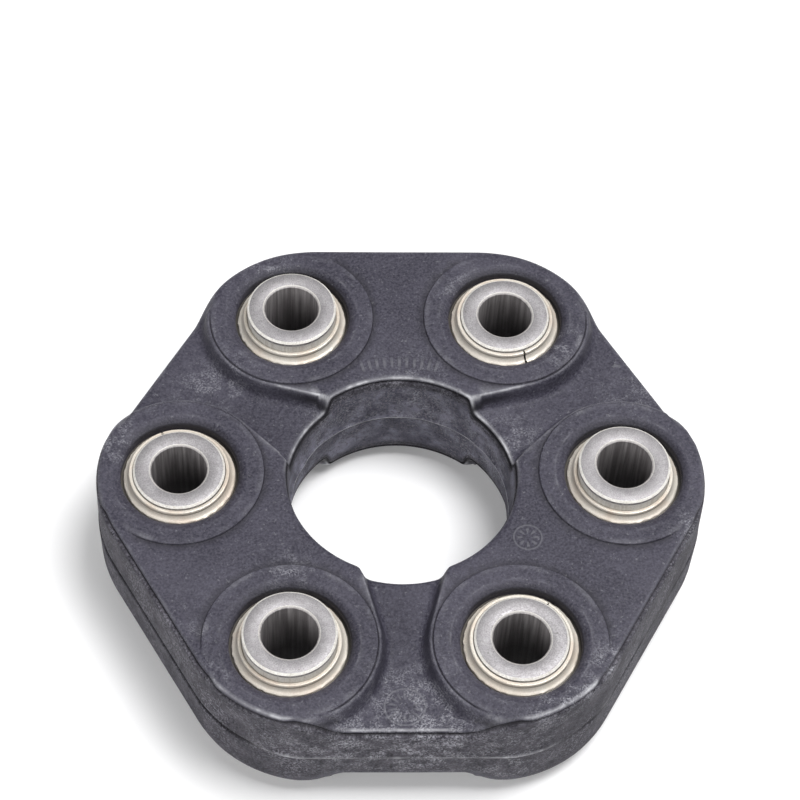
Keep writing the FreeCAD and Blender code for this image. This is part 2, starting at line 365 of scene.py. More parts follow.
half_turn = (math.pi / 2 - WALL_SLOPE) / 2
SHOULDER_START = -SHOULDER_ROUND * math.tan(half_turn)
SHOULDER_END = -SHOULDER_START * math.sin(WALL_SLOPE)
FOOT_LINE = (THICK_TOP - THIN_TOP) * math.tan(WALL_SLOPE)
FOOT_END = FOOT_LINE + FOOT_ROUND * math.tan(half_turn)
FOOT_START = FOOT_LINE - FOOT_ROUND * math.tan(half_turn) * math.sin(WALL_SLOPE)


def plateau_section(offset):
    """Height across a plateau's edge: shoulder, wall, hollow foot."""
    shoulder_reach = np.clip(offset - SHOULDER_START, 0, SHOULDER_ROUND)
    shoulder = THICK_TOP - SHOULDER_ROUND + np.sqrt(SHOULDER_ROUND ** 2 - shoulder_reach ** 2)
    wall = THICK_TOP - offset / math.tan(WALL_SLOPE)
    foot_reach = np.clip(FOOT_END - offset, 0, FOOT_ROUND)
    foot = THIN_TOP + FOOT_ROUND - np.sqrt(FOOT_ROUND ** 2 - foot_reach ** 2)
    return np.where(offset < SHOULDER_END, shoulder, np.where(offset < FOOT_START, wall, foot))


print("shoulder from", round(SHOULDER_START, 2), "foot line at", round(FOOT_LINE, 2))

# %% The height over any point
EDGE_RAMP_RUN = 4.0
RAMP_INSET = 0.4
RAMP_BLEND = 3.4
CRISP_INSET = 1.6
CRISP_BLEND = 3.0
RIM_STEP_WIDTH = 0.22
GENTLE_STEP_WIDTH = 2.4
RIM_GROOVE = 0.16
MOUTH_RADIUS = 12.66
LIP_RADIUS = 12.80
LIP_HEIGHT = FLANGE_TOP + 1.0
THROAT_DROP = 0.2
DISH_RADIUS = 14.75
DISH_POWER = 1.5
WAVE_HEIGHT = 0.05
WAVE_LENGTH = 26.0
WAVE_BLEND = 4.0
WAVE_SEED = 5


def face_height(x, y):
    """The height of the upper face over each point of the plan."""
    offset = plateau_offset(x, y)
    inset = outline_inset(x, y)
    radius = bushing_distance(x, y)
    gentle_ramp = THICK_TOP - (THICK_TOP - THIN_TOP) * smooth((offset - SHOULDER_START) / EDGE_RAMP_RUN)
    edge_share = 1 - smooth((inset - RAMP_INSET) / RAMP_BLEND)
    height = plateau_section(offset) * (1 - edge_share) + gentle_ramp * edge_share
    inner = smooth((inset - CRISP_INSET) / CRISP_BLEND)
    crisp = 1 - smooth((radius - BOSS_RADIUS) / RIM_STEP_WIDTH + 0.5)
    gentle = 1 - smooth((radius - BOSS_RADIUS) / GENTLE_STEP_WIDTH + 0.5)
    groove = np.exp(-((radius - BOSS_RADIUS - RIM_STEP_WIDTH / 2) / (RIM_STEP_WIDTH * 0.7)) ** 2)
    step = gentle + (crisp - gentle) * inner
    height = height + (BOSS_TOP - THICK_TOP) * step - RIM_GROOVE * groove * inner
    dip = np.clip((DISH_RADIUS - radius) / (DISH_RADIUS - LIP_RADIUS), 0, 1) ** DISH_POWER
    throat = np.clip((LIP_RADIUS - radius) / (LIP_RADIUS - MOUTH_RADIUS), 0, 1)
    height = height - (BOSS_TOP - LIP_HEIGHT) * dip - THROAT_DROP * throat
    calm = smooth((radius - DISH_RADIUS) / WAVE_BLEND)
    return height + WAVE_HEIGHT * waves(x, y, WAVE_LENGTH, WAVE_SEED) * calm


print("height at the middle of a thin link:", round(float(face_height(*link_middle[:, None])[0]), 2))

# %% [markdown]
# ## Loops along the edges
#
# The outer wall, the hole and the dished mouths are closed loops. Each is sampled
# finely and then thinned so that points crowd together where the face climbs a
# plateau and spread out where it runs level. The same points carry the face and
# the wall below it, so the two join without a crack.

# %% The outline, sampled finely
FINE_STEP = 0.05


def outline_loop():
    """Points on the outline and the outward direction at each, anticlockwise."""
    points, normals = [], []
    side_length = 2 * CORNER_CENTRE * math.sin(SECTOR / 2)
    for index in range(BUSHINGS):
        middle = SECTOR * index
        turns = np.arange(-SECTOR / 2, SECTOR / 2, FINE_STEP / CORNER_RADIUS)
        out = np.stack([np.cos(middle + turns), np.sin(middle + turns)], 1)
        points.append(CORNER_CENTRE * unit(middle) + CORNER_RADIUS * out)
        normals.append(out)
        facing = unit(middle + SECTOR / 2)
        start = CORNER_CENTRE * unit(middle) + CORNER_RADIUS * facing
        along = np.array([-facing[1], facing[0]])
        steps = np.arange(0, side_length, FINE_STEP)
        points.append(start + steps[:, None] * along)
        normals.append(np.repeat(facing[None], len(steps), 0))
    return np.concatenate(points), np.concatenate(normals)


fine_points, fine_normals = outline_loop()
print("fine points on the outline:", len(fine_points))

# %% Thin the loops out
OUTER_BAND = 2.8
HOLE_BAND = 2.9
OUTER_POINTS = 900
HOLE_POINTS = 420
HOLE_FINE_POINTS = 6000
CLIMB_CROWDING = 2.5


def thin_out(points, normals, inset, count):
    """Count points of a fine loop, crowded where the face height changes."""
    edge = points - normals * inset
    height = face_height(edge[:, 0], edge[:, 1])
    gap = np.hypot(*(np.roll(points, -1, 0) - points).T)
    climb = np.abs(np.roll(height, -1) - height)
    travel = np.concatenate([[0], np.cumsum(gap + CLIMB_CROWDING * climb)])
    stops = np.linspace(0, travel[-1], count, endpoint=False)
    picked = np.searchsorted(travel[:-1], stops)
    picked = np.unique(np.clip(picked, 0, len(points) - 1))
    return points[picked], normals[picked]


outer_points, outer_normals = thin_out(fine_points, fine_normals, OUTER_BAND / 2, OUTER_POINTS)
turns = np.linspace(0, math.tau, HOLE_FINE_POINTS, endpoint=False)
inward = -np.stack([np.cos(turns), np.sin(turns)], 1)
hole_points, hole_normals = thin_out(-inward * HOLE_RADIUS, inward, HOLE_BAND / 2, HOLE_POINTS)
print("outer loop", len(outer_points), "points, hole loop", len(hole_points))

# %% [markdown]
# ## Filling the face
#
# Between the loops the face is filled with points where its form needs them: rings
# round each bushing for the dish and the rim groove, rows that follow each
# plateau's edge, and a loose grid on the level parts. Blender's own constrained
# Delaunay routine joins them into triangles, and the triangles over the mouths
# and the hole are dropped.

# %% Rings round the bushings
MOUTH_POINTS = 144
RING_RADII = (12.73, 12.8, 12.95, 13.2, 13.5, 13.85, 14.2, 14.5, 14.75, 15.1, 15.8, 16.8, 17.6,
              18.0, 18.14, 18.22, 18.3, 18.38, 18.46)


def ring(radius, count, centre):
    """Points round a circle in plan."""
    turns = np.arange(count) * math.tau / count
    return np.stack([centre[0] + radius * np.cos(turns), centre[1] + radius * np.sin(turns)], 1)


mouth_loops = []
rings = []
for index in range(BUSHINGS):
    centre = BOLT_CIRCLE * unit(SECTOR * index)
    mouth_loops.append(ring(MOUTH_RADIUS, MOUTH_POINTS, centre))
    for radius in RING_RADII:
        rings.append(ring(radius, MOUTH_POINTS, centre))
rings = np.concatenate(rings)
print("points on rings:", len(rings))

# %% Rows along the plateaus' edges
EDGE_OFFSETS = (-0.5, -0.4, -0.3, -0.2, -0.1, 0.0, 0.09, 0.28, 0.48, 0.67, 0.85, 1.1, 1.4, 1.8, 2.23, 2.8)
ROW_STEP = 0.75
ROW_CLEAR_OF_RINGS = 0.06
ROW_TOLERANCE = 0.1


def plateau_rows(index):
    """Rows of points that follow the plateau's edge on the thin side of one bushing."""
    out = unit(SECTOR * index)
    around = np.array([-out[1], out[0]]) * (1 if index % 2 == 0 else -1)
    normal = unit(PLATEAU_TURN)
    along = np.array([-normal[1], normal[0]])
    turns = np.arange(0, PLATEAU_TURN + 1e-6, math.tau / MOUTH_POINTS)
    reach = np.arange(ROW_STEP, PLATEAU_RADIUS, ROW_STEP)
    rows = []
    for offset in EDGE_OFFSETS:
        radius = PLATEAU_RADIUS + offset
        bend = np.stack([np.cos(turns), np.sin(turns)], 1) * radius
        straight = normal * radius + reach[:, None] * along
        local = np.concatenate([bend, straight])
        rows.append(BOLT_CIRCLE * out + local[:, :1] * out + local[:, 1:] * around)
    return np.concatenate(rows)


rows = np.concatenate([plateau_rows(index) for index in range(BUSHINGS)])
rows = rows[bushing_distance(*rows.T) > RING_RADII[-1] + ROW_CLEAR_OF_RINGS]
rows = rows[np.abs(plateau_offset(*rows.T)) < EDGE_OFFSETS[-1] + ROW_TOLERANCE]
print("points in rows:", len(rows))

# %% A loose grid for the level parts
GRID_STEP = 1.6
CLEAR_OF_LOOPS = 0.35

across = np.arange(-REACH, REACH, GRID_STEP)
grid_x, grid_y = np.meshgrid(across, across * math.sqrt(0.75))
grid_x = grid_x + (np.arange(len(across)) % 2)[:, None] * GRID_STEP / 2
grid = np.stack([grid_x.ravel(), grid_y.ravel()], 1)


def keep(points, loop_gap, bushing_gap=None, row_gap=None):
    """Drops points too near to a loop, or to the rings and rows already placed."""
    x, y = points.T
    good = outline_inset(x, y) > OUTER_BAND + loop_gap
    good &= np.hypot(x, y) > HOLE_RADIUS + HOLE_BAND + loop_gap
    if bushing_gap is not None:
        good &= bushing_distance(x, y) > RING_RADII[-1] + bushing_gap
    if row_gap is not None:
        offset = plateau_offset(x, y)
        good &= (offset < EDGE_OFFSETS[0] - row_gap) | (offset > EDGE_OFFSETS[-1] + row_gap)
    return points[good]


loops = [outer_points - outer_normals * OUTER_BAND, hole_points - hole_normals * HOLE_BAND] + mouth_loops
inner_points = [
    keep(rings, CLEAR_OF_LOOPS),
    keep(rows, CLEAR_OF_LOOPS),
    keep(grid, GRID_STEP * 0.6, GRID_STEP * 0.6, GRID_STEP * 0.5),
]
plan = np.concatenate(loops + inner_points)
print("points in the plan:", len(plan))

# %% Join them into triangles
SAME_POINT = 1e-6

constraints = []
loop_starts = []
start = 0
for loop in loops:
    count = len(loop)
    constraints += [(start + i, start + (i + 1) % count) for i in range(count)]
    loop_starts.append(start)
    start += count
result = geometry.delaunay_2d_cdt([Vector(p) for p in plan], constraints, [], 0, SAME_POINT)
sheet_xy = np.array([v[:] for v in result[0]])
sheet_faces = np.array([f for f in result[2] if len(f) == 3])
to_sheet = np.zeros(len(plan), int)
for new_index, olds in enumerate(result[3]):
    for old in olds:
        to_sheet[old] = new_index
loop_indices = [to_sheet[start:start + len(loop)] for start, loop in zip(loop_starts, loops)]
print("triangles before the openings are cut:", len(sheet_faces))

# %% Drop the triangles over the openings
SLIVER_AREA = 1e-4
BAND_SLACK = 0.001
LOOP_SLACK = 0.02

loop_of = np.full(len(sheet_xy), -1)
for loop_number, indices in enumerate(loop_indices):
    loop_of[indices] = loop_number
middle = sheet_xy[sheet_faces].mean(1)
side_a, side_b = (sheet_xy[sheet_faces[:, i]] - sheet_xy[sheet_faces[:, 0]] for i in (1, 2))
area = np.abs(side_a[:, 0] * side_b[:, 1] - side_a[:, 1] * side_b[:, 0]) / 2
first, second, third = loop_of[sheet_faces].T
wanted = area > SLIVER_AREA
wanted &= ~((first > 0) & (first == second) & (second == third))
wanted &= outline_inset(*middle.T) > OUTER_BAND - BAND_SLACK
wanted &= np.hypot(*middle.T) > HOLE_RADIUS + HOLE_BAND - LOOP_SLACK
wanted &= bushing_distance(*middle.T) > MOUTH_RADIUS - LOOP_SLACK
sheet_faces = sheet_faces[wanted]
print("face triangles:", len(sheet_faces))

# %% [markdown]
# ## Edge sections and marks
#
# A wall is a stack of loops from the upper face to the lower one. Along the front
# sides the mould's top plate left a soft shoulder that ends in a crease, painted dark
# as shade, and a narrow ledge. Round the bushings the raised ring runs over the edge
# in a tighter curve, and along the back the edge is simply round. So each edge is a
# table of steps, and the tables are mixed along the way. Each point also carries
# marks: how much rubbing and painted highlight it gets, how much painted shade, how
# much dust and painted light, and whether it is on a side wall. The material reads
# them, which puts the painted light and shade, and the wear, along the form.

# %% Tables of the edge sections
# Each step says how far inside the outline and how far below the face it lies.
EDGE_SIDE = (
    (2.30, 0.0), (1.70, -0.02), (1.40, -0.06), (1.18, -0.17), (1.02, -0.34),
    (0.93, -0.54), (0.92, -0.72), (1.12, -0.86), (1.08, -1.08), (0.66, -1.14),
    (0.34, -1.20), (0.14, -1.34), (0.03, -1.6), (0.0, -2.1),
)
EDGE_CORNER = (
    (2.30, 0.0), (1.35, -0.02), (0.95, -0.08), (0.68, -0.20), (0.48, -0.38),
    (0.37, -0.58), (0.34, -0.78), (0.62, -0.94), (0.60, -1.20), (0.28, -1.32),
    (0.12, -1.44), (0.05, -1.6), (0.01, -1.9), (0.0, -2.3),
)
EDGE_BACK = (
    (2.30, 0.0), (1.35, -0.02), (0.98, -0.08), (0.70, -0.19), (0.50, -0.35),
    (0.37, -0.54), (0.28, -0.74), (0.21, -0.92), (0.15, -1.08), (0.11, -1.22),
    (0.07, -1.38), (0.04, -1.6), (0.01, -1.9), (0.0, -2.3),
)
EDGE_HOLE = (
    (1.80, 0.0), (1.50, -0.03), (1.10, -0.13), (0.78, -0.28), (0.50, -0.50),
    (0.32, -0.78), (0.26, -1.02), (0.42, -1.15), (0.72, -1.22), (0.72, -1.42),
    (0.40, -1.55), (0.15, -1.75), (0.03, -2.2), (0.0, -2.8),
)
EDGE_RAMP = (
    (1.80, 0.0), (1.50, -0.03), (1.10, -0.13), (0.78, -0.28), (0.50, -0.50),
    (0.32, -0.78), (0.24, -0.98), (0.19, -1.14), (0.15, -1.28), (0.11, -1.42),
    (0.08, -1.55), (0.05, -1.75), (0.02, -2.2), (0.0, -2.8),
)
print("steps in an edge section:", len(EDGE_SIDE))

# %% Store points with their marks, and join rows
vertices = []
# Marks: rubbing with painted highlight on ridges, painted shade in creases, dust with painted light on the
# hole's wall, and side walls.
marks = {"ridge": [], "crease": [], "dust": [], "side": []}
quads = []


def add_vertices(points, ridge=0.0, crease=0.0, dust=0.0, side=0.0):
    """Stores points with their marks and returns their numbers."""
    start = sum(len(block) for block in vertices)
    vertices.append(np.asarray(points, float))
    for name, value in (("ridge", ridge), ("crease", crease), ("dust", dust), ("side", side)):
        marks[name].append(np.broadcast_to(value, len(points)).astype(float))
    return np.arange(start, start + len(points))


def join_rows(upper, lower):
    """Stores the quads between two closed rows of equal length."""
    quads.append(np.stack([upper, np.roll(upper, -1), np.roll(lower, -1), lower], 1))


def band(value, centre, width):
    """One at the centre, falling to nought on both sides."""
    return np.exp(-((value - centre) / width) ** 2)


print("marks on every point:", list(marks))

# %% Measures along a loop
CORNER_REACH = 7.5
CORNER_BLEND = 3.5
STEEP_FROM = 0.35
STEEP_BLEND = 0.8
SMEAR = 3


def corner_share(points):
    """One where the raised ring round a bushing runs over the outer edge, else nought."""
    angle = nearest_bushing(*points.T) * SECTOR
    across = np.abs(points[:, 1] * np.cos(angle) - points[:, 0] * np.sin(angle))
    return 1 - smooth((across - CORNER_REACH) / CORNER_BLEND)


def climb_share(points, normals, inset):
    """One where the face climbs steeply along a loop, else nought."""
    edge = points - normals * inset
    height = face_height(edge[:, 0], edge[:, 1])
    run = np.hypot(*(np.roll(edge, -1, 0) - np.roll(edge, 1, 0)).T)
    slope = np.abs(np.roll(height, -1) - np.roll(height, 1)) / np.maximum(run, 1e-6)
    steep = smooth((slope - STEEP_FROM) / STEEP_BLEND)
    spread = np.concatenate([steep[-SMEAR:], steep, steep[:SMEAR]])
    window = 2 * SMEAR + 1
    return np.convolve(spread, np.ones(window) / window, "valid")


corner = corner_share(outer_points)
print("share of the outline at the bushings:", round(float(corner.mean()), 2))

# %% Where each edge section holds
SHARE_INSET = 1.0
BACK_FROM = 0.1
BACK_BLEND = 0.4

back_share = smooth((outer_normals[:, 1] - BACK_FROM) / BACK_BLEND)
ramp_share = climb_share(outer_points, outer_normals, SHARE_INSET)
plain_share = np.maximum(back_share, ramp_share)
ring_share = corner * (1 - plain_share)
outer_shares = 1 - plain_share - ring_share, ring_share, plain_share


def mixed_section(level, sections, shares):
    """One row of several edge sections, mixed by their shares along the loop."""
    inset = sum(section[level][0] * share for section, share in zip(sections, shares))
    drop = sum(section[level][1] * share for section, share in zip(sections, shares))
    return inset, drop


print("share of the outline with the plain edge:", round(float(plain_share.mean()), 2))

# %% Levels of the walls
UNDER_REACH = 2.3
UNDER_DROP = 4.2
UNDER_STEPS = 9
WALL_LEVELS = (0.85, 0.7, 0.55, 0.42, 0.3, 0.2, 0.12)
SEAM_LEVELS = (1.1, 0.75, 0.5, 0.25, 0.0)
WALL_DRAFT = math.tan(math.radians(1.0))

under_turns = np.linspace(0, math.pi / 2, UNDER_STEPS + 1)[1:]
UNDER_ARC = [(UNDER_REACH * (1 - math.sin(t)), -UNDER_DROP * (1 - math.cos(t))) for t in under_turns]
print("edge rows", len(EDGE_SIDE), "wall rows", len(WALL_LEVELS))

# %% One loop of the outer wall
DIMPLE_PLACE = (-35.8, -55.2)
DIMPLE_HEIGHT = 5.0
DIMPLE_SQUASH = 1.6
DIMPLE_SPREAD = 12.0
DIMPLE_DEPTH = 0.75


def outer_row(level, half, seam_shift):
    """One loop of the outer wall. Level counts edge rows first, then wall rows."""
    edge_count = len(EDGE_SIDE) if half > 0 else UNDER_STEPS
    edge_level = min(level, edge_count - 1)
    on_wall = level >= edge_count
    if half > 0:
        inset, drop = mixed_section(edge_level, (EDGE_SIDE, EDGE_CORNER, EDGE_BACK), outer_shares)
    else:
        inset, drop = mixed_section(edge_level, (UNDER_ARC,), (np.ones(len(outer_points)),))
    at = outer_points - outer_normals * inset[:, None]
    z = face_height(*at.T) + drop
    if on_wall:
        wall = WALL_LEVELS[level - edge_count]
        z = z * wall + SEAM_LEVELS[0] * (1 - wall)
    beside = ((outer_points - DIMPLE_PLACE) ** 2).sum(1)
    above = DIMPLE_SQUASH * (z * half - DIMPLE_HEIGHT) ** 2
    dimple = np.exp(-(beside + above) / DIMPLE_SPREAD)
    inset = inset + np.abs(z) * WALL_DRAFT + seam_shift + DIMPLE_DEPTH * dimple * on_wall
    at = outer_points - outer_normals * inset[:, None]
    return np.column_stack([at, z * half])


print("first row starts at", outer_row(0, 1, 0.0)[0].round(2))

# %% [markdown]
# ## Painted highlights and shade on the face, with wear
#
# The plateaus' edges get a painted highlight with some rubbed wear, most of all
# round the hole at the back, and the grooves and feet get painted shade. Painting
# that by hand would suit one view only. Here each mark is a soft band about a
# distance that is already known, such as the distance from a plateau's edge, so it
# follows the form all round. A slow wave makes it come and go, so that no line looks drawn.

# %% Painted highlights on ridges, painted shade at the feet
RIDGE_BAND = (-0.25, 0.25)
FOOT_BAND = (0.5, 0.3)
DISH_BAND = (14.85, 0.22)
RIM_BAND = (17.8, 0.4)
GROOVE_BAND = (BOSS_RADIUS + 0.08, 0.12)
NEAR_HOLE_FROM = 3.0
NEAR_HOLE_BLEND = 13.0
FAR_SIDE_BLEND = 2.0
WEAR_LENGTH = 7.0
WEAR_SEED = 31

sheet_z = face_height(*sheet_xy.T)
sheet_offset = plateau_offset(*sheet_xy.T)
sheet_radius = bushing_distance(*sheet_xy.T)
rub_and_highlight_breakup = np.clip(0.4 + 0.8 * waves(*sheet_xy.T, WEAR_LENGTH, WEAR_SEED), 0, 1.3)
near_hole = 1 - smooth((np.hypot(*sheet_xy.T) - HOLE_RADIUS - NEAR_HOLE_FROM) / NEAR_HOLE_BLEND)
off_axis = np.abs(sheet_xy[:, 0]) * math.tan(SECTOR / 2)
far_side = smooth((sheet_xy[:, 1] - off_axis) / FAR_SIDE_BLEND)

# Painted highlight, with some rubbed wear: on a plateau's edge, strongest near the hole at the back, and on
# the dish's edge and inside the rim groove.
ridge_light = 0.10 + (0.2 + 0.7 * far_side) * near_hole
dish_light = 0.12 * band(sheet_radius, *DISH_BAND) + 0.13 * band(sheet_radius, *RIM_BAND)
sheet_ridge = ridge_light * band(sheet_offset, *RIDGE_BAND) + rub_and_highlight_breakup * dish_light

# Painted shade in the rim groove round each bushing and at a plateau's foot, darkest near the hole at the
# back.
inner = smooth((outline_inset(*sheet_xy.T) - OUTER_BAND) / 2.0)
foot_shade = 0.12 + (0.2 + 0.6 * far_side) * near_hole ** 2
sheet_crease = 0.9 * inner * band(sheet_radius, *GROOVE_BAND)
sheet_crease = sheet_crease + foot_shade * band(sheet_offset, *FOOT_BAND)
print("mean ridge mark:", round(float(sheet_ridge.mean()), 3))

# %% Painted shade in the gaps behind the collars, and both faces
BEHIND_DIRECTION = (0.5, 0.86)
BEHIND_BLEND = 1.1
LIP_REACH = 0.3
LIP_BLEND = 0.25
LIP_BAND = (13.3, 0.7)

nearest = nearest_bushing(*sheet_xy.T) * SECTOR
from_axis = sheet_xy - BOLT_CIRCLE * np.column_stack([np.cos(nearest), np.sin(nearest)])
behind = smooth((from_axis @ BEHIND_DIRECTION / sheet_radius + 0.5) / BEHIND_BLEND)
# Painted shade in the gap round each collar, darkest on the back right.
lip_shade = smooth((LIP_RADIUS + LIP_REACH - sheet_radius) / LIP_BLEND)
lip_shade = lip_shade + 0.5 * band(sheet_radius, *LIP_BAND)
sheet_crease = sheet_crease + lip_shade * (0.1 + 0.9 * behind)

halves = {}
for half in (1, -1):
    sheet_points = np.column_stack([sheet_xy, sheet_z * half])
    halves[half] = add_vertices(sheet_points, sheet_ridge, sheet_crease)
print("points on one face:", len(sheet_xy))

# %% [markdown]
# ## The outer wall
#
# Half way down, the two halves of the mould met, and the rubber shows it: a crack
# where they were a little apart, a thin fin elsewhere. A bump map could draw that
# line, but it would vanish against the light, so both are modelled, with waves
# along the outline for their height; the crack also gets painted shade and the fin
# a painted highlight. The shoulder gets a painted highlight, with some rubbed wear,
# at the front corners and in the middle of the front link, and the crease under it
# gets painted shade.

# %% Crack and fin along the outline
SEAM_REACH = 0.48
SEAM_INSET = 0.16
CRACK_DEPTH = 1.1
FIN_HEIGHT = 0.2
FRONT_FIN = 0.16
RIGHT_BLEND = 0.5


def loop_position(points):
    """The distance travelled along a loop, for unevenness that follows it."""
    gap = np.hypot(*(points - np.roll(points, 1, 0)).T)
    return np.cumsum(gap)


def loop_waves(travel, length, seed):
    """Seeded waves along a loop."""
    return waves(travel, travel * 0, length, seed)


def facing_front(start, blend):
    """Nought to one, rising where the outline faces the front by more than start."""
    return smooth((-outer_normals[:, 1] - start) / blend)


travel = loop_position(outer_points)
front_side = facing_front(0.72, 0.26)
right_side = smooth(outer_normals[:, 0] / RIGHT_BLEND)
crack = CRACK_DEPTH * smooth(loop_waves(travel, 37.0, 11) + 1.1)
crack = crack * (1 - front_side) * (1 - 0.75 * right_side)
fin = FIN_HEIGHT * smooth(loop_waves(travel, 21.0, 12) + 0.3)
fin = fin + FRONT_FIN * front_side * (0.6 + 0.4 * loop_waves(travel, 5.0, 14))
seam_shift = {1: SEAM_INSET, -1: SEAM_INSET * front_side}
print("deepest crack", round(float(crack.max()), 2), "highest fin", round(float(fin.max()), 2))

# %% Where the shoulder gets its painted highlight
LINK_MIDDLE = -2.5
LINK_REACH = 6.0
LINK_BLEND = 8.0

near_corner = corner * facing_front(0.35, 0.3)
off_middle = np.abs(outer_points[:, 0] - LINK_MIDDLE)
near_link = facing_front(0.9, 0.09) * (1 - smooth((off_middle - LINK_REACH) / LINK_BLEND))
# Painted highlight on the shoulder, with some rubbed wear, at the front corners and the middle of the front
# link; the crease's painted shade fades at the corners.
corner_light = near_corner * (0.75 + 0.25 * loop_waves(travel, 12.0, 19))
edge_light = 0.1 + 0.7 * corner_light + 0.75 * near_link
crease_shade_fade = 1 - 0.25 * corner * (1 + loop_waves(travel, 30.0, 17))
print("brightest point of the shoulder:", round(float(edge_light.max()), 2))

# %% Rows beside the seam
CRACK_SHADE = 2.2
FIN_HIGHLIGHT = 1.5
UNDER_FIN_SHADE = 0.9


def within_box(points):
    """Holds a fin back where it would pass the box of the frame's own moulding."""
    return np.clip(points, rubber_low[:2], rubber_high[:2])


def seam_rows(half):
    """The rows that carry the crack and the fin, from the wall down to the seam."""
    rows_here = []
    for z in SEAM_LEVELS[:-1]:
        near = math.exp(-(z / SEAM_REACH) ** 4)
        bulge = (fin - crack) * near - seam_shift[half] - z * WALL_DRAFT
        at = within_box(outer_points + outer_normals * bulge[:, None])
        points = np.column_stack([at, np.full(len(at), z * half)])
        # Painted shade in the crack and under the fin on the lower half, and a painted highlight on the
        # fin.
        under_fin = UNDER_FIN_SHADE * (half < 0 and z == SEAM_LEVELS[-2])
        shade = np.maximum(crack * CRACK_SHADE * near, under_fin)
        rows_here.append(add_vertices(points, fin * FIN_HIGHLIGHT * near, shade, side=1.0))
    return rows_here


print("rows beside the seam:", len(SEAM_LEVELS) - 1)

# %% Rows of the outer wall
# Painted highlight, with some rubbed wear, on the shoulder's rows; painted shade in the crease and ledge
# rows, and at a plateau's foot.
EDGE_RIDGE = {2: 0.5, 3: 1.0, 4: 0.5}
EDGE_CREASE = {6: 0.3, 7: 0.95, 8: 0.95, 9: 0.25}
LEDGE_LEVEL = 9
LAST_RIDGE_LEVEL = 4
LAST_CREASE_LEVEL = 8
RAMP_RIDGE_BAND = (-0.4, 0.3)
RAMP_CREASE_BAND = (0.7, 0.45)
WALL_COLOUR_FROM = {1: (5, 4), -1: (3, 5)}


def edge_marks(points, level):
    """How much rubbing and painted highlight, and how much painted shade, one row of the upper edge gets.
    """
    beside = plateau_offset(*points[:, :2].T)
    ridge = EDGE_RIDGE.get(level, 0.0) * edge_light * (1 - 0.8 * ramp_share)
    ridge = ridge + 0.2 * (level <= LAST_RIDGE_LEVEL) * band(beside, *RAMP_RIDGE_BAND)
    crease = EDGE_CREASE.get(level, 0.0) + 0.45 * front_side * (level == LEDGE_LEVEL)
    crease = crease * crease_shade_fade * (1 - plain_share)
    foot = 0.75 * (level <= LAST_CREASE_LEVEL) * band(beside, *RAMP_CREASE_BAND)
    return ridge, crease + foot * front_side


outer_rows = {}
for half in (1, -1):
    rows_here = [halves[half][loop_indices[0]]]
    edge_count = len(EDGE_SIDE) if half > 0 else UNDER_STEPS
    first, span = WALL_COLOUR_FROM[half]
    for level in range(edge_count + len(WALL_LEVELS)):
        points = outer_row(level, half, seam_shift[half])
        ridge, crease = edge_marks(points, level) if half > 0 else (0.0, 0.0)
        side = float(smooth((level - first) / span))
        rows_here.append(add_vertices(points, ridge, crease, side=side))
    outer_rows[half] = rows_here + seam_rows(half)
print("rows on the upper half:", len(outer_rows[1]))

# %% Join the outer wall at the seam
SEAM_HIGHLIGHT = 3.5
SEAM_SHADE = 2.4

at = within_box(outer_points + outer_normals * (fin - crack)[:, None])
at = np.column_stack([at, np.zeros(len(at))])
# A painted highlight on the fin and painted shade in the crack, at the seam itself.
seam = add_vertices(at, fin * SEAM_HIGHLIGHT, crack * SEAM_SHADE, side=1.0)
stack = outer_rows[1] + [seam] + outer_rows[-1][::-1]
for upper, lower in zip(stack, stack[1:]):
    join_rows(lower, upper)
print("rows in the outer wall:", len(stack))

# %% [markdown]
# ## The hole's wall
#
# The core of the mould left a rounded bead round the hole with a groove under it,
# except where the rim climbs a plateau. The bead gets a painted highlight, strongest
# at the back, and the groove gets painted shade, a black line on the left and the
# right. Lower down the wall is pale with dust and with painted light, and a thin fin
# of rubber marks the seam here too, with a painted highlight on the fin.

# %% How bead, groove and fin vary round the hole
HOLE_DRAFT = math.tan(math.radians(2.4))
HOLE_FIN = 0.34
CREVICE_FROM = 0.30
CREVICE_BLEND = 0.35
RIM_LIGHT = 0.08, 0.85

hole_travel = loop_position(hole_points)
hole_fin = HOLE_FIN + 0.10 * loop_waves(hole_travel, 6.0, 21)
hole_fin = hole_fin + 0.3 * smooth(loop_waves(hole_travel, 13.0, 22) - 0.7)
hole_climb = climb_share(hole_points, hole_normals, SHARE_INSET)
hole_sideways = np.abs(hole_points[:, 0]) / HOLE_RADIUS
hole_backwards = hole_points[:, 1] / HOLE_RADIUS
# Painted shade in the groove, darkest on the left and the right, and a painted highlight on the bead,
# strongest at the back.
crevice = smooth((hole_sideways - CREVICE_FROM) / CREVICE_BLEND) * smooth(hole_backwards + 1.0)
rim_light = RIM_LIGHT[0] + RIM_LIGHT[1] * smooth((hole_backwards + 0.15) / 0.6)
print("highest fin in the hole", round(float(hole_fin.max()), 2))

# %% The rounded edge of the hole
# Painted highlight on the bead's rows, painted shade in the groove's rows.
HOLE_RIDGE = {3: 0.3, 4: 1.0, 5: 0.3}
HOLE_CREASE = {6: 0.55, 7: 1.0, 8: 1.0, 9: 1.0, 10: 0.55}
CLIMB_CREASE = {6: 0.3, 10: 0.3}
CREVICE_CREASE = {6: 0.45, 10: 0.45, 11: 0.95}
HOLE_RAMP_RIDGE_BAND = (-0.25, 0.3)
HOLE_RAMP_CREASE_BAND = (0.7, 0.4)
HOLE_WALL_COLOUR_FROM = (6, 4)


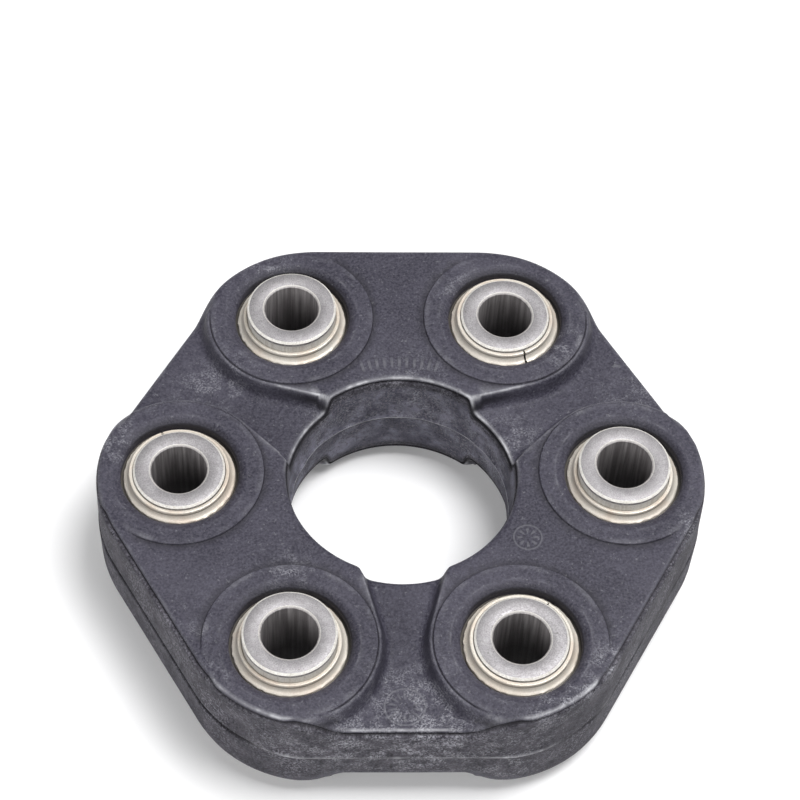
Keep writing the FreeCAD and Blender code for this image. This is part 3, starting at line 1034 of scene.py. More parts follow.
def hole_edge_rows(half):
    """The rows of the bead and the groove, and the height where they end."""
    rows_here = []
    first, span = HOLE_WALL_COLOUR_FROM
    for level in range(len(EDGE_HOLE)):
        inset, drop = mixed_section(level, (EDGE_HOLE, EDGE_RAMP), (1 - hole_climb, hole_climb))
        at = hole_points - hole_normals * inset[:, None]
        z = face_height(*at.T) + drop
        at = at - hole_normals * (z * HOLE_DRAFT)[:, None]
        beside = plateau_offset(*at.T)
        # Painted shade at a plateau's foot and a painted highlight on its top edge, where they meet the
        # hole.
        foot = rim_light * band(beside, *HOLE_RAMP_CREASE_BAND)
        top_edge = 0.9 * rim_light * band(beside, *HOLE_RAMP_RIDGE_BAND)
        ridge = rim_light * HOLE_RIDGE.get(level, 0.0) + top_edge * (level <= LAST_RIDGE_LEVEL)
        crease = HOLE_CREASE.get(level, 0.0) + CLIMB_CREASE.get(level, 0.0) * hole_climb
        crease = crease + CREVICE_CREASE.get(level, 0.0) * crevice + foot * (level <= LAST_CREASE_LEVEL)
        side = float(smooth((level - first) / span))
        rows_here.append(add_vertices(np.column_stack([at, z * half]), ridge, crease, side=side))
    return rows_here, z


print("rows in the hole's edge:", len(EDGE_HOLE))

# %% The wall below it, pale with dust and painted light
FIN_LINE = 0.1
HOLE_FIN_HIGHLIGHT = 0.9


def hole_wall_rows(half, top):
    """The rows from the edge down to the fin at the seam."""
    rows_here = []
    for wall in WALL_LEVELS:
        z = top * wall + SEAM_LEVELS[0] * (1 - wall)
        at = hole_points - hole_normals * (z * HOLE_DRAFT)[:, None]
        # The wall is pale with dust and with painted light.
        rows_here.append(add_vertices(np.column_stack([at, z * half]), dust=1.0, side=1.0))
    for z in SEAM_LEVELS[:-1]:
        bulge = hole_fin * math.exp(-(z / SEAM_REACH) ** 2) - z * HOLE_DRAFT
        at = hole_points + hole_normals * bulge[:, None]
        points = np.column_stack([at, np.full(len(at), z * half)])
        # A painted highlight on the fin, and painted shade under it on the lower half.
        fin_highlight = HOLE_FIN_HIGHLIGHT * (z < FIN_LINE)
        under_fin = UNDER_FIN_SHADE * (half < 0 and z in SEAM_LEVELS[-3:-1])
        rows_here.append(add_vertices(points, fin_highlight, under_fin, dust=1.0, side=1.0))
    return rows_here


hole_rows = {}
for half in (1, -1):
    edge_rows, edge_end = hole_edge_rows(half)
    hole_rows[half] = [halves[half][loop_indices[1]]] + edge_rows + hole_wall_rows(half, edge_end)
at = hole_points + hole_normals * hole_fin[:, None]
seam = add_vertices(np.column_stack([at, np.zeros(len(at))]), HOLE_FIN_HIGHLIGHT, dust=1.0, side=1.0)
stack = hole_rows[1] + [seam] + hole_rows[-1][::-1]
for upper, lower in zip(stack, stack[1:]):
    join_rows(upper, lower)
print("rows in the hole's wall:", len(stack))

# %% [markdown]
# ## The mouths, and the finished mesh
#
# Each mouth goes down round its collar to a pocket, which closes the mesh against
# the sleeve, so that no open edge shows between rubber and steel. Scuffs are kept
# as a list of places on the real disc, each with its spread and strength, because
# they follow no edge. Then one mesh is made of all points, quads and triangles,
# and the marks become its attributes.

# %% Pockets under the mouths
POCKET_GAP = 0.2
SLEEVE_OVERLAP = 0.05
POCKET_FLOOR = FLANGE_UNDERSIDE + POCKET_GAP

for index in range(BUSHINGS):
    centre = BOLT_CIRCLE * unit(SECTOR * index)
    wide = mouth_loops[index]
    narrow = ring(SLEEVE_RADIUS - SLEEVE_OVERLAP, MOUTH_POINTS, centre)
    stack = [halves[1][loop_indices[2 + index]]]
    pocket = ((wide, POCKET_FLOOR), (narrow, POCKET_FLOOR), (narrow, -POCKET_FLOOR), (wide, -POCKET_FLOOR))
    for plan_loop, z in pocket:
        points = np.column_stack([plan_loop, np.full(MOUTH_POINTS, z)])
        # The pocket is painted full shade.
        stack.append(add_vertices(points, crease=1.0))
    stack.append(halves[-1][loop_indices[2 + index]])
    for upper, lower in zip(stack, stack[1:]):
        join_rows(upper, lower)
print("pockets closed at", round(POCKET_FLOOR, 2), "above and below")

# %% Scuffs
SCUFFS = (
    # Where the face or wall was rubbed: x, y, z, spread, strength.
    (31.0, -57.0, 14.4, 4.5, 1.0), (42.5, -47.0, 14.4, 4.0, 1.0), (37.5, -54.5, 14.4, 3.5, 1.0),
    (7.0, -61.4, 5.0, 6.0, 0.9), (-12.0, -61.4, 5.5, 8.0, 0.7), (22.0, -63.0, -6.0, 5.0, 0.9),
    (-39.0, -49.0, 14.4, 2.6, 0.8), (-43.5, -40.0, 14.2, 2.2, 0.7), (2.0, -53.0, 9.7, 8.0, 0.55),
    (-46.0, 24.0, 13.0, 5.0, 0.6), (-38.0, 27.0, 10.5, 7.0, 0.55), (52.0, 22.0, 12.0, 6.0, 0.6),
    (62.0, -14.0, 13.5, 4.0, 0.8), (26.0, 12.0, 10.0, 5.0, 0.5), (0.0, -61.4, -3.0, 14.0, 0.7),
    (-62.0, 8.0, 14.3, 6.0, 0.7), (34.0, 34.0, 14.4, 6.0, 0.8), (-30.0, 55.0, 14.4, 6.0, 0.6),
    (3.0, 24.0, 6.0, 9.0, 0.8), (-15.0, 19.0, 2.0, 8.0, 0.7), (19.0, 15.0, -2.0, 9.0, 0.9),
    (-24.0, -25.0, 14.4, 5.0, 0.6), (24.0, -60.0, 5.0, 9.0, 0.6), (-26.0, -60.0, 3.0, 9.0, 0.6),
    (50.0, -38.0, 0.0, 12.0, 0.5), (14.0, 50.0, 14.2, 6.0, 0.4), (-46.0, -36.0, 3.0, 9.0, 0.5),
)


def scuff_at(points):
    """How rubbed each point is by the listed scuffs."""
    total = np.zeros(len(points))
    for x, y, z, spread, strength in SCUFFS:
        away = np.sqrt(((points - (x, y, z)) ** 2).sum(1))
        total = total + strength * np.exp(-(away / spread) ** 2)
    return np.clip(total, 0, 1)


all_vertices = np.concatenate(vertices)
marks["scuff"] = [scuff_at(all_vertices)]
print("scuffs:", len(SCUFFS), "share of points touched:", round(float((marks["scuff"][0] > 0.1).mean()), 2))

# %% One mesh of it all
all_faces = [tuple(halves[1][f]) for f in sheet_faces]
all_faces += [tuple(halves[-1][f][::-1]) for f in sheet_faces]
all_faces += [tuple(q) for q in np.concatenate(quads)]
rubber_mesh = bpy.data.meshes.new("moulded_rubber")
rubber_mesh.from_pydata(all_vertices * MM, [], all_faces)
for name, blocks in marks.items():
    layer = rubber_mesh.attributes.new(name, "FLOAT", "POINT")
    layer.data.foreach_set("value", np.clip(np.concatenate(blocks), 0, 1).astype(np.float32))
rubber_mesh.shade_smooth()
rubber_mesh.validate()
moulded_rubber = bpy.data.objects.new("moulded_rubber", rubber_mesh)
bpy.context.scene.collection.objects.link(moulded_rubber)
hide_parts("rubber_body")
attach(moulded_rubber, "root")
print("moulding:", len(rubber_mesh.vertices), "vertices,", len(rubber_mesh.polygons), "faces")

# %% [markdown]
# ## Turned and pressed rings
#
# Sleeves and collars are bodies of revolution, so each is a section spun round its
# bushing's axis. A screw modifier could spin them too, but a few lines of mesh code
# also store marks on the points. The tiny steps decide how they catch the light:
# the chamfers, the raised bead at the hub's top, the hollow cove and the rounded
# rim. A collar also has the slit that let it be pressed on, made as a trench: four
# columns of points where the middle two lie deeper.

# %% A mesh from rows of points
SHARP_ANGLE = math.radians(32)


def mesh_of_rows(name, points, ring_marks, flip):
    """Joins rows of points into a closed ring with its marks, as a new object."""
    index = np.arange(len(points) * len(points[0])).reshape(len(points), -1)
    following = np.roll(index, -1, 0)
    faces = np.stack([index, np.roll(index, -1, 1), np.roll(following, -1, 1), following], 2).reshape(-1, 4)
    if flip < 0:
        faces = faces[:, ::-1]
    mesh = bpy.data.meshes.new(name)
    mesh.from_pydata(np.concatenate(points) * MM, [], faces.tolist())
    for label, values in ring_marks.items():
        layer = mesh.attributes.new(label, "FLOAT", "POINT")
        layer.data.foreach_set("value", np.concatenate(values).astype(np.float32))
    mesh.shade_smooth()
    mesh.set_sharp_from_angle(angle=SHARP_ANGLE)
    mesh.validate()
    spun = bpy.data.objects.new(name, mesh)
    bpy.context.scene.collection.objects.link(spun)
    return spun


print("helper:", mesh_of_rows.__name__)

# %% A function that spins a section
COLUMNS = 176
SLIT_HALF_WIDTH = 0.22
SLIT_DEPTH = 1.7
EDGE_ROUGHNESS = 0.05
HUB_WALL = 0.95
HUB_TOP = collar_high[2]
HUB_RADIUS = SLEEVE_RADIUS + HUB_WALL


def spin(name, section, centre, flip, slit=None):
    """Spins points of (radius, height, (shade, roughness, brightness)) round an upright axis."""
    turns = np.arange(COLUMNS) * (math.tau / COLUMNS)
    deep = np.zeros(COLUMNS)
    floor = -math.inf
    if slit is not None:
        half = SLIT_HALF_WIDTH / HUB_RADIUS
        turns = np.concatenate([np.linspace(half, math.tau - half, COLUMNS), [-half, half]]) + slit
        deep = np.concatenate([np.zeros(COLUMNS), [1, 1]])
        floor = FLANGE_UNDERSIDE
    dice = np.random.default_rng(int(abs(centre[0]) * 10 + abs(centre[1]) + 7 * flip))
    rough = np.convolve(dice.normal(0, 1, len(turns) + 1), np.ones(2) / 2, "valid")
    columns = len(turns)
    points, shades, brights = [], [], []
    for radius, height, (shade, roughness, brightness) in section:
        reach = radius + roughness * rough * EDGE_ROUGHNESS
        x = centre[0] + reach * np.cos(turns)
        y = centre[1] + reach * np.sin(turns)
        z = np.maximum(height - deep * SLIT_DEPTH, floor)
        points.append(np.column_stack([x, y, z * flip]))
        # The slit's trench is painted full shade.
        shades.append(np.maximum(np.full(columns, shade), deep))
        brights.append(np.full(columns, brightness))
    return mesh_of_rows(name, points, {"shade": shades, "painted_light": brights}, flip)


print("hub radius", round(HUB_RADIUS, 2), "hub top", round(HUB_TOP, 2))

# %% [markdown]
# ## Sleeves
#
# A sleeve is cut from thick tube and chamfered at its four edges. The bore's points
# are marked dark, for the bore's own colour and its painted shade, and the chamfers
# carry a painted highlight. Under the upper chamfer lies a narrow band of painted
# shade, and the side below it carries painted light.

# %% Turned sleeves
CHAMFER = 0.42
CHAMFER_DIP = 0.03
CHAMFER_SOFT = 0.06
# Marks are shade, roughness and brightness: painted shade (and the bore's own colour), uneven edge, and
# painted light.
PLAIN = (0, 0, 0)
BORE_SHADE = (1, 0, 0)
BRIGHT_CHAMFER = (0, 0, 0.85)
BRIGHT_SIDE = (0, 0, 0.9)
LOW_SIDE = (0.3, 0, 0)


def sleeve_section(low, high):
    """A sleeve's section from the bore over the top, down the side and back."""
    outer, bore, cut = SLEEVE_RADIUS, BORE_RADIUS, CHAMFER
    return [
        (bore, high - cut, (0.9, 0, 0.3)),
        (bore + cut, high - CHAMFER_DIP, BRIGHT_CHAMFER),
        (bore + cut + CHAMFER_SOFT, high, PLAIN),
        (outer - cut - CHAMFER_SOFT, high, PLAIN),
        (outer - cut, high - CHAMFER_DIP, BRIGHT_CHAMFER),
        (outer, high - cut, BRIGHT_SIDE),
        # A narrow band of painted shade under the upper chamfer.
        (outer, high - cut - 0.12, (0.85, 0, 0)),
        (outer, high - cut - 0.5, (0.7, 0, 0)),
        (outer, high - cut - 0.8, BRIGHT_SIDE),
        (outer, HUB_TOP + 0.1, (0.05, 0, 0.9)),
        (outer, -HUB_TOP, LOW_SIDE),
        (outer, low + cut, LOW_SIDE),
        (outer - cut, low, PLAIN),
        (bore + cut, low, PLAIN),
        (bore, low + cut, BORE_SHADE),
        (bore, (low + high) / 2, BORE_SHADE),
    ]


sleeves = {}
for number in range(1, BUSHINGS + 1):
    centre = BOLT_CIRCLE * unit(SECTOR * (number - 1))
    low, high = box_mm(f"sleeve_{number}")
    sleeve = spin(f"turned_sleeve_{number}", sleeve_section(low[2], high[2])[::-1], centre, 1)
    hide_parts(f"sleeve_{number}")
    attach(sleeve, "root")
    sleeves[number] = sleeve
print("sleeves:", len(sleeves))

# %% [markdown]
# ## Collars
#
# A collar is pressed from strip: a short hub that grips the sleeve, a hollow cove,
# and a flange that runs under the rubber. Its section is one table, measured from
# the hub's outside and from its top. The steps at the sleeve and under the rubber
# get painted shade, the hub's top and side a little too, and the rim is a little uneven.

# %% Pressed collars
TOP_SLITS = (96, -68, 84, 112, 70, 55)
BOTTOM_SLITS = (-84, 118, -35, 20, 150, -100)
HUB_INSIDE = SLEEVE_RADIUS + 0.03
# Painted shade by step: full at the sleeve and at the flange's rim, light on the hub's top and side.
COLLAR_SHADES = {
    0: 0.95, 1: 0.95, 2: 0.2, 3: 0.2, 4: 0.2, 7: 0.2, 8: 0.2, 11: 0.2, 12: 0.6,
    21: 0.95, 22: 0.95, 23: 0.95,
}
ROUGH_STEPS = (18, 19, 20)
COLLAR_SECTION = (
    (HUB_INSIDE, FLANGE_UNDERSIDE), (HUB_INSIDE, HUB_TOP - 0.45),
    (SLEEVE_RADIUS + 0.1, HUB_TOP - 0.14), (SLEEVE_RADIUS + 0.24, HUB_TOP - 0.01),
    (HUB_RADIUS - 0.40, HUB_TOP), (HUB_RADIUS - 0.35, HUB_TOP - 0.06),
    (HUB_RADIUS - 0.29, HUB_TOP - 0.06), (HUB_RADIUS - 0.24, HUB_TOP - 0.02),
    (HUB_RADIUS - 0.08, HUB_TOP - 0.08), (HUB_RADIUS + 0.02, HUB_TOP - 0.24),
    (HUB_RADIUS + 0.05, HUB_TOP - 0.5), (HUB_RADIUS - 0.01, HUB_TOP - 0.68),
    (HUB_RADIUS - 0.04, HUB_TOP - 0.84), (HUB_RADIUS + 0.03, HUB_TOP - 1.06),
    (HUB_RADIUS + 0.20, HUB_TOP - 1.42), (HUB_RADIUS + 0.42, HUB_TOP - 1.72),
    (HUB_RADIUS + 0.68, HUB_TOP - 1.94), (HUB_RADIUS + 0.95, HUB_TOP - 2.06),
    (HUB_RADIUS + 1.1, HUB_TOP - 2.18), (HUB_RADIUS + 1.17, HUB_TOP - 2.42),
    (HUB_RADIUS + 1.14, HUB_TOP - 2.7), (HUB_RADIUS + 1.28, HUB_TOP - 2.9),
    (FLANGE_RADIUS, HUB_TOP - 2.9), (FLANGE_RADIUS, FLANGE_UNDERSIDE),
)

section = []
for step, (radius, height) in enumerate(COLLAR_SECTION):
    section.append((radius, height, (COLLAR_SHADES.get(step, 0.0), float(step in ROUGH_STEPS), 0.0)))
section.reverse()

collars = {}
for number in range(1, BUSHINGS + 1):
    centre = BOLT_CIRCLE * unit(SECTOR * (number - 1))
    for side, flip, slits in (("top", 1, TOP_SLITS), ("bottom", -1, BOTTOM_SLITS)):
        name = f"{side}_collar_{number}"
        collar = spin(f"plated_{name}", section, centre, flip, math.radians(slits[number - 1]))
        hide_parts(name)
        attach(collar, "root")
        collars[name] = collar
print("collars:", len(collars))

# %% [markdown]
# ## Shared effects
#
# Most finishes share a few effects, so each is a small node group: a fine grain,
# streaks along the shaft's axis, a patchy film, a finer scratched film, and a plain
# stamped ring with ticks. A group is built once and placed wherever a material needs
# it, with its own values. The groups only make masks and heights. The shader stays
# in the material, where an export can read it.

# %% Helpers for node groups


def new_group(name, inputs, outputs):
    """A node group with float inputs (and their defaults) and float outputs."""
    group = bpy.data.node_groups.new(name, "ShaderNodeTree")
    for label, value in inputs.items():
        socket = group.interface.new_socket(label, in_out="INPUT", socket_type="NodeSocketFloat")
        socket.default_value = value
    for label in outputs:
        group.interface.new_socket(label, in_out="OUTPUT", socket_type="NodeSocketFloat")
    return group, group.nodes.new("NodeGroupInput"), group.nodes.new("NodeGroupOutput")


def object_noise(tree, scale_socket, detail, stretch=(1.0, 1.0, 1.0), offset=(0.0, 0.0, 0.0)):
    """A noise in the object's own space, in metres, stretched as asked."""
    place = add_node(tree, "ShaderNodeTexCoord")
    mapping = add_node(tree, "ShaderNodeMapping", inputs={"Scale": stretch, "Location": offset})
    noise = add_node(tree, "ShaderNodeTexNoise", inputs={"Detail": detail, "Roughness": 0.6})
    tree.links.new(place.outputs["Object"], mapping.inputs["Vector"])
    tree.links.new(mapping.outputs[0], noise.inputs["Vector"])
    tree.links.new(scale_socket, noise.inputs["Scale"])
    return noise.outputs[0]


def math_node(tree, operation, *values):
    """A maths node fed with sockets or plain numbers."""
    node = add_node(tree, "ShaderNodeMath", operation=operation)
    for slot_index, value in enumerate(values):
        if isinstance(value, (int, float)):
            node.inputs[slot_index].default_value = value
        else:
            tree.links.new(value, node.inputs[slot_index])
    return node.outputs[0]


print("helpers:", new_group.__name__, object_noise.__name__, math_node.__name__)

# %% Grain and streaks


def contrast_group(name, scale, low, high, **noise_settings):
    """A group that spreads a noise between two levels to the full range."""
    group, group_in, group_out = new_group(name, {"Scale": scale}, ["Value"])
    noise = object_noise(group, group_in.outputs["Scale"], **noise_settings)
    contrast = add_node(group, "ShaderNodeMapRange", inputs={"From Min": low, "From Max": high})
    group.links.new(noise, contrast.inputs["Value"])
    group.links.new(contrast.outputs[0], group_out.inputs["Value"])
    return group


grain_group = contrast_group("fine_grain", 2500.0, 0.35, 0.66, detail=3.0)
streak_group = contrast_group("axial_streaks", 900.0, 0.42, 0.66, detail=3.0, stretch=(1.0, 1.0, 0.03))
print("groups:", grain_group.name, streak_group.name)

# %% Patchy and scratched films


def film_group(name, scale, low, high, **noise_settings):
    """A group whose mask rises between two levels that each material sets."""
    defaults = {"Scale": scale, "Low": low, "High": high}
    group, group_in, group_out = new_group(name, defaults, ["Mask"])
    noise = object_noise(group, group_in.outputs["Scale"], **noise_settings)
    span = add_node(group, "ShaderNodeMapRange", interpolation_type="SMOOTHSTEP")
    group.links.new(noise, span.inputs["Value"])
    group.links.new(group_in.outputs["Low"], span.inputs["From Min"])
    group.links.new(group_in.outputs["High"], span.inputs["From Max"])
    group.links.new(span.outputs[0], group_out.inputs["Mask"])
    return group


patch_group = film_group("patchy_film", 60.0, 0.5, 0.7, detail=6.0, offset=(0.31, 0.17, 0.05))
scratch_group = film_group("scratched_film", 400.0, 0.45, 0.65, detail=9.0, stretch=(0.9, 1.0, 0.9))
print("groups:", patch_group.name, scratch_group.name)

# %% A stamped ring
STAMP_DEFAULTS = {"X": 0.0, "Y": 0.0, "Radius": 0.004, "Width": 0.0003, "Ticks": 0.0, "Reach": 4.0}
LINE_EDGE = 1.6
TICK_CONTRAST = 1.5
TICK_FLOOR = 0.2
UPPER_FACE_FROM = 0.009

stamp_group, group_in, group_out = new_group("stamped_ring", STAMP_DEFAULTS, ["Height"])
place = add_node(stamp_group, "ShaderNodeTexCoord")
parts = add_node(stamp_group, "ShaderNodeSeparateXYZ")
stamp_group.links.new(place.outputs["Object"], parts.inputs[0])
dx = math_node(stamp_group, "SUBTRACT", parts.outputs["X"], group_in.outputs["X"])
dy = math_node(stamp_group, "SUBTRACT", parts.outputs["Y"], group_in.outputs["Y"])
squares = math_node(stamp_group, "MULTIPLY", dy, dy)
squares = math_node(stamp_group, "MULTIPLY_ADD", dx, dx, squares)
away = math_node(stamp_group, "SQRT", squares)
off_line = math_node(stamp_group, "SUBTRACT", away, group_in.outputs["Radius"])
off_line = math_node(stamp_group, "ABSOLUTE", off_line)
line = math_node(stamp_group, "DIVIDE", off_line, group_in.outputs["Width"])
line = math_node(stamp_group, "SUBTRACT", LINE_EDGE, line)
line = math_node(stamp_group, "MINIMUM", line, 1.0)
line = math_node(stamp_group, "MAXIMUM", line, 0.0)
from_top = math_node(stamp_group, "ARCTAN2", dx, dy)
tick = math_node(stamp_group, "MULTIPLY", from_top, group_in.outputs["Ticks"])
tick = math_node(stamp_group, "COSINE", tick)
tick = math_node(stamp_group, "MULTIPLY_ADD", tick, TICK_CONTRAST, TICK_FLOOR)
tick = math_node(stamp_group, "MAXIMUM", tick, 0.0)
tick = math_node(stamp_group, "MINIMUM", tick, 1.0)
off_top = math_node(stamp_group, "ABSOLUTE", from_top)
within = math_node(stamp_group, "LESS_THAN", off_top, group_in.outputs["Reach"])
above = math_node(stamp_group, "GREATER_THAN", parts.outputs["Z"], UPPER_FACE_FROM)
height = math_node(stamp_group, "MULTIPLY", line, tick)
height = math_node(stamp_group, "MULTIPLY", height, within)
height = math_node(stamp_group, "MULTIPLY", height, above)
stamp_group.links.new(height, group_out.inputs["Height"])
print("node groups:", [g.name for g in bpy.data.node_groups])

# %% [markdown]
# ## Rubber
#
# Natural rubber fresh from the mould is a blue-tinged dark grey with a fine pale
# speckle. The side walls are darker and full of small scratches, and the wall of
# the hole is pale with dust and with painted light. The raised edges get a painted
# highlight, partly rubbed wear, and the creases get painted shade. The marks stored
# on the mesh say where: side walls, dust with painted light, scuffs, rubbing with
# painted highlight, and painted shade. The colour is built in coats, each laid over
# the last through a mask, and films break the masks up so that no line looks drawn.

# %% Helpers for finishes


def use_group(tree, group, **inputs):
    """Places a group in a material with its own values, and returns its output."""
    node = tree.nodes.new("ShaderNodeGroup")
    node.node_tree = group
    for label, value in inputs.items():
        node.inputs[label].default_value = value
    return node.outputs[0]


def mark(tree, name):
    """One of the marks stored on the mesh."""
    return add_node(tree, "ShaderNodeAttribute", attribute_name=name).outputs["Fac"]


def mix_colour(tree, factor, first, second):
    """Mixes two colours, each a socket or a plain colour, by a factor socket."""
    mix = add_node(tree, "ShaderNodeMix", data_type="RGBA")
    tree.links.new(factor, mix.inputs["Factor"])
    for slot_index, value in ((6, first), (7, second)):
        if isinstance(value, tuple):
            mix.inputs[slot_index].default_value = (*value, 1.0)
        else:
            tree.links.new(value, mix.inputs[slot_index])
    return mix.outputs[2]


def coat(tree, below, mask, strength, above):
    """Lays one colour over another through a mask, at a given strength."""
    return mix_colour(tree, math_node(tree, "MULTIPLY", mask, strength), below, above)


def new_shader(tree, output, **inputs):
    """A principled shader with plain numbers on its own sockets."""
    shader = add_node(tree, "ShaderNodeBsdfPrincipled", inputs=inputs)
    tree.links.new(shader.outputs[0], output.inputs["Surface"])
    return shader


print("helpers:", use_group.__name__, mark.__name__, mix_colour.__name__, coat.__name__)

# %% Faces, side walls and the hole's wall
RUBBER_GLOSS = 0.27
FACE_COLOURS = (0.022, 0.020, 0.033), (0.042, 0.039, 0.057)
WALL_COLOURS = (0.012, 0.010, 0.015), (0.062, 0.057, 0.068)
HOLE_DUST_AND_LIGHT_COLOURS = (0.056, 0.055, 0.078), (0.235, 0.232, 0.295)

rubber_material, tree, output = new_material("moulded_rubber")
shader = new_shader(tree, output, **{"Specular IOR Level": RUBBER_GLOSS})
grain = use_group(tree, grain_group, Scale=1900.0)
blotch = use_group(tree, patch_group, Scale=60.0, Low=0.36, High=0.66)
film = use_group(tree, scratch_group, Scale=260.0, Low=0.42, High=0.70)
bloom = use_group(tree, scratch_group, Scale=210.0, Low=0.40, High=0.68)
wall_share = mark(tree, "side")
# The hole's wall is pale with dust and with painted light.
hole_dust_and_light = mix_colour(tree, bloom, *HOLE_DUST_AND_LIGHT_COLOURS)
wall_colour = mix_colour(tree, film, *WALL_COLOURS)
wall_colour = mix_colour(tree, mark(tree, "dust"), wall_colour, hole_dust_and_light)
colour = mix_colour(tree, wall_share, mix_colour(tree, blotch, *FACE_COLOURS), wall_colour)
print("first coats:", len(tree.nodes), "nodes")

# %% Flecks, dents and grain
PALE_FLECK = (0.27, 0.26, 0.30)
DARK_DENT = (0.012, 0.010, 0.014)
FACE_GRAIN = (0.142, 0.138, 0.174)
WALL_GRAIN = (0.172, 0.167, 0.200)
PALE_SPECK = (0.26, 0.26, 0.28)

flecks = use_group(tree, scratch_group, Scale=2100.0, Low=0.50, High=0.60)
fleck_patch = use_group(tree, patch_group, Scale=95.0, Low=0.40, High=0.62)
flecks = math_node(tree, "MULTIPLY", flecks, fleck_patch)
flecks = math_node(tree, "MULTIPLY", flecks, wall_share)
colour = coat(tree, colour, flecks, 0.7, PALE_FLECK)
dents = use_group(tree, scratch_group, Scale=1300.0, Low=0.54, High=0.64)
dents = math_node(tree, "MULTIPLY", dents, wall_share)
colour = coat(tree, colour, dents, 0.6, DARK_DENT)
colour = coat(tree, colour, grain, 0.42, mix_colour(tree, wall_share, FACE_GRAIN, WALL_GRAIN))
speck = use_group(tree, patch_group, Scale=1300.0, Low=0.60, High=0.70)
colour = coat(tree, colour, speck, 0.35, PALE_SPECK)
print("with flecks, dents and grain:", len(tree.nodes), "nodes")

# %% Scuffs and mould marks
SCUFF_COLOUR = (0.40, 0.40, 0.44)
STAMP_COLOUR = (0.22, 0.22, 0.24)
STAMPS = (
    # Plain mould marks: x, y, radius, line width, ticks round, reach in radians.
    (-0.3, -54.6, 4.2, 0.22, 0.0, 4.0), (-0.3, -54.6, 2.7, 0.75, 14.0, 4.0),
    (26.5, -16.4, 3.0, 0.2, 0.0, 4.0), (26.5, -16.4, 1.7, 0.6, 8.0, 4.0),
    (0.0, 0.0, 29.3, 1.1, 110.0, 0.30), (49.1, 30.4, 1.2, 0.35, 0.0, 0.9),
)

scratch = use_group(tree, scratch_group, Scale=2900.0, Low=0.42, High=0.66)
stroke = use_group(tree, patch_group, Scale=330.0, Low=0.42, High=0.60)
scuff = math_node(tree, "MULTIPLY", mark(tree, "scuff"), scratch)
scuff = math_node(tree, "MULTIPLY", scuff, stroke)
colour = coat(tree, colour, scuff, 0.85, SCUFF_COLOUR)

stamp_height = None
for x, y, radius, width, ticks, reach in STAMPS:
    lengths = {"X": x * MM, "Y": y * MM, "Radius": radius * MM, "Width": width * MM}
    stamp = use_group(tree, stamp_group, Ticks=ticks, Reach=reach, **lengths)
    stamp_height = stamp if stamp_height is None else math_node(tree, "MAXIMUM", stamp_height, stamp)
colour = coat(tree, colour, stamp_height, 0.3, STAMP_COLOUR)
print("stamped rings:", len(STAMPS))

# %% Painted highlights on ridges and painted shade in creases
HIGHLIGHT_AND_RUB_COLOUR = (0.58, 0.58, 0.61)
CREASE_SHADE_COLOUR = (0.010, 0.009, 0.012)

# A painted highlight, partly rubbed wear, on the ridges, and painted shade in the creases.
highlight_and_rub = math_node(tree, "ADD", 0.5, film)
highlight_and_rub = math_node(tree, "MULTIPLY", mark(tree, "ridge"), highlight_and_rub)
colour = coat(tree, colour, highlight_and_rub, 0.9, HIGHLIGHT_AND_RUB_COLOUR)
colour = coat(tree, colour, mark(tree, "crease"), 0.92, CREASE_SHADE_COLOUR)
tree.links.new(colour, shader.inputs["Base Color"])
print("colour of the rubber done:", len(tree.nodes), "nodes")

# %% Gloss and relief of the rubber
STAMP_RELIEF = 3.5
WALL_ROUGHER = 0.22

roughness = add_node(tree, "ShaderNodeMapRange", inputs={"To Min": 0.46, "To Max": 0.66})
tree.links.new(grain, roughness.inputs["Value"])
wall_rough = math_node(tree, "MULTIPLY", wall_share, WALL_ROUGHER)
tree.links.new(math_node(tree, "ADD", roughness.outputs[0], wall_rough), shader.inputs["Roughness"])
relief = math_node(tree, "ADD", math_node(tree, "MULTIPLY", stamp_height, STAMP_RELIEF), grain)
bump = add_node(tree, "ShaderNodeBump", inputs={"Strength": 0.45, "Distance": 0.00015})
tree.links.new(relief, bump.inputs["Height"])
tree.links.new(bump.outputs[0], shader.inputs["Normal"])
moulded_rubber.data.materials.append(rubber_material)
print("rubber material:", len(tree.nodes), "nodes")

# %% [markdown]
# ## Steel sleeves
#
# The sleeves are cut from drawn tube and faced: pale satin ends with small pits, a
# painted highlight on each chamfer, and a bore with faint lines drawn along it, which
# gets painted shade with depth. A fully metallic shader would mirror the dark rubber,
# so the sides that carry painted light are made less metallic. The shade mark tells
# the bore from the faces and carries painted shade, and the mark of brightness puts
# painted light on chamfers and sides.

# %% Steel faces and bores
FACE_STEEL = (0.40, 0.385, 0.40), (0.47, 0.455, 0.47)
FACE_GRAIN_COLOUR = (0.27, 0.26, 0.27)
PIT_COLOUR = (0.14, 0.13, 0.13)
BORE_STEEL = (0.26, 0.24, 0.245), (0.56, 0.53, 0.535)
DEEP_BORE_SHADE = (0.02, 0.016, 0.018)
BORE_DEPTH = {"From Min": 0.016, "From Max": 0.001, "To Max": 0.88}

steel, tree, output = new_material("satin_steel")
shader = new_shader(tree, output)
grain = use_group(tree, grain_group, Scale=3800.0)
blotch = use_group(tree, patch_group, Scale=650.0, Low=0.38, High=0.64)
pits = use_group(tree, patch_group, Scale=1100.0, Low=0.64, High=0.70)
streaks = use_group(tree, streak_group, Scale=1500.0)
face = mix_colour(tree, blotch, *FACE_STEEL)
face = coat(tree, face, grain, 0.45, FACE_GRAIN_COLOUR)
face = coat(tree, face, pits, 0.6, PIT_COLOUR)
place = add_node(tree, "ShaderNodeTexCoord")
place_parts = add_node(tree, "ShaderNodeSeparateXYZ")
tree.links.new(place.outputs["Object"], place_parts.inputs[0])
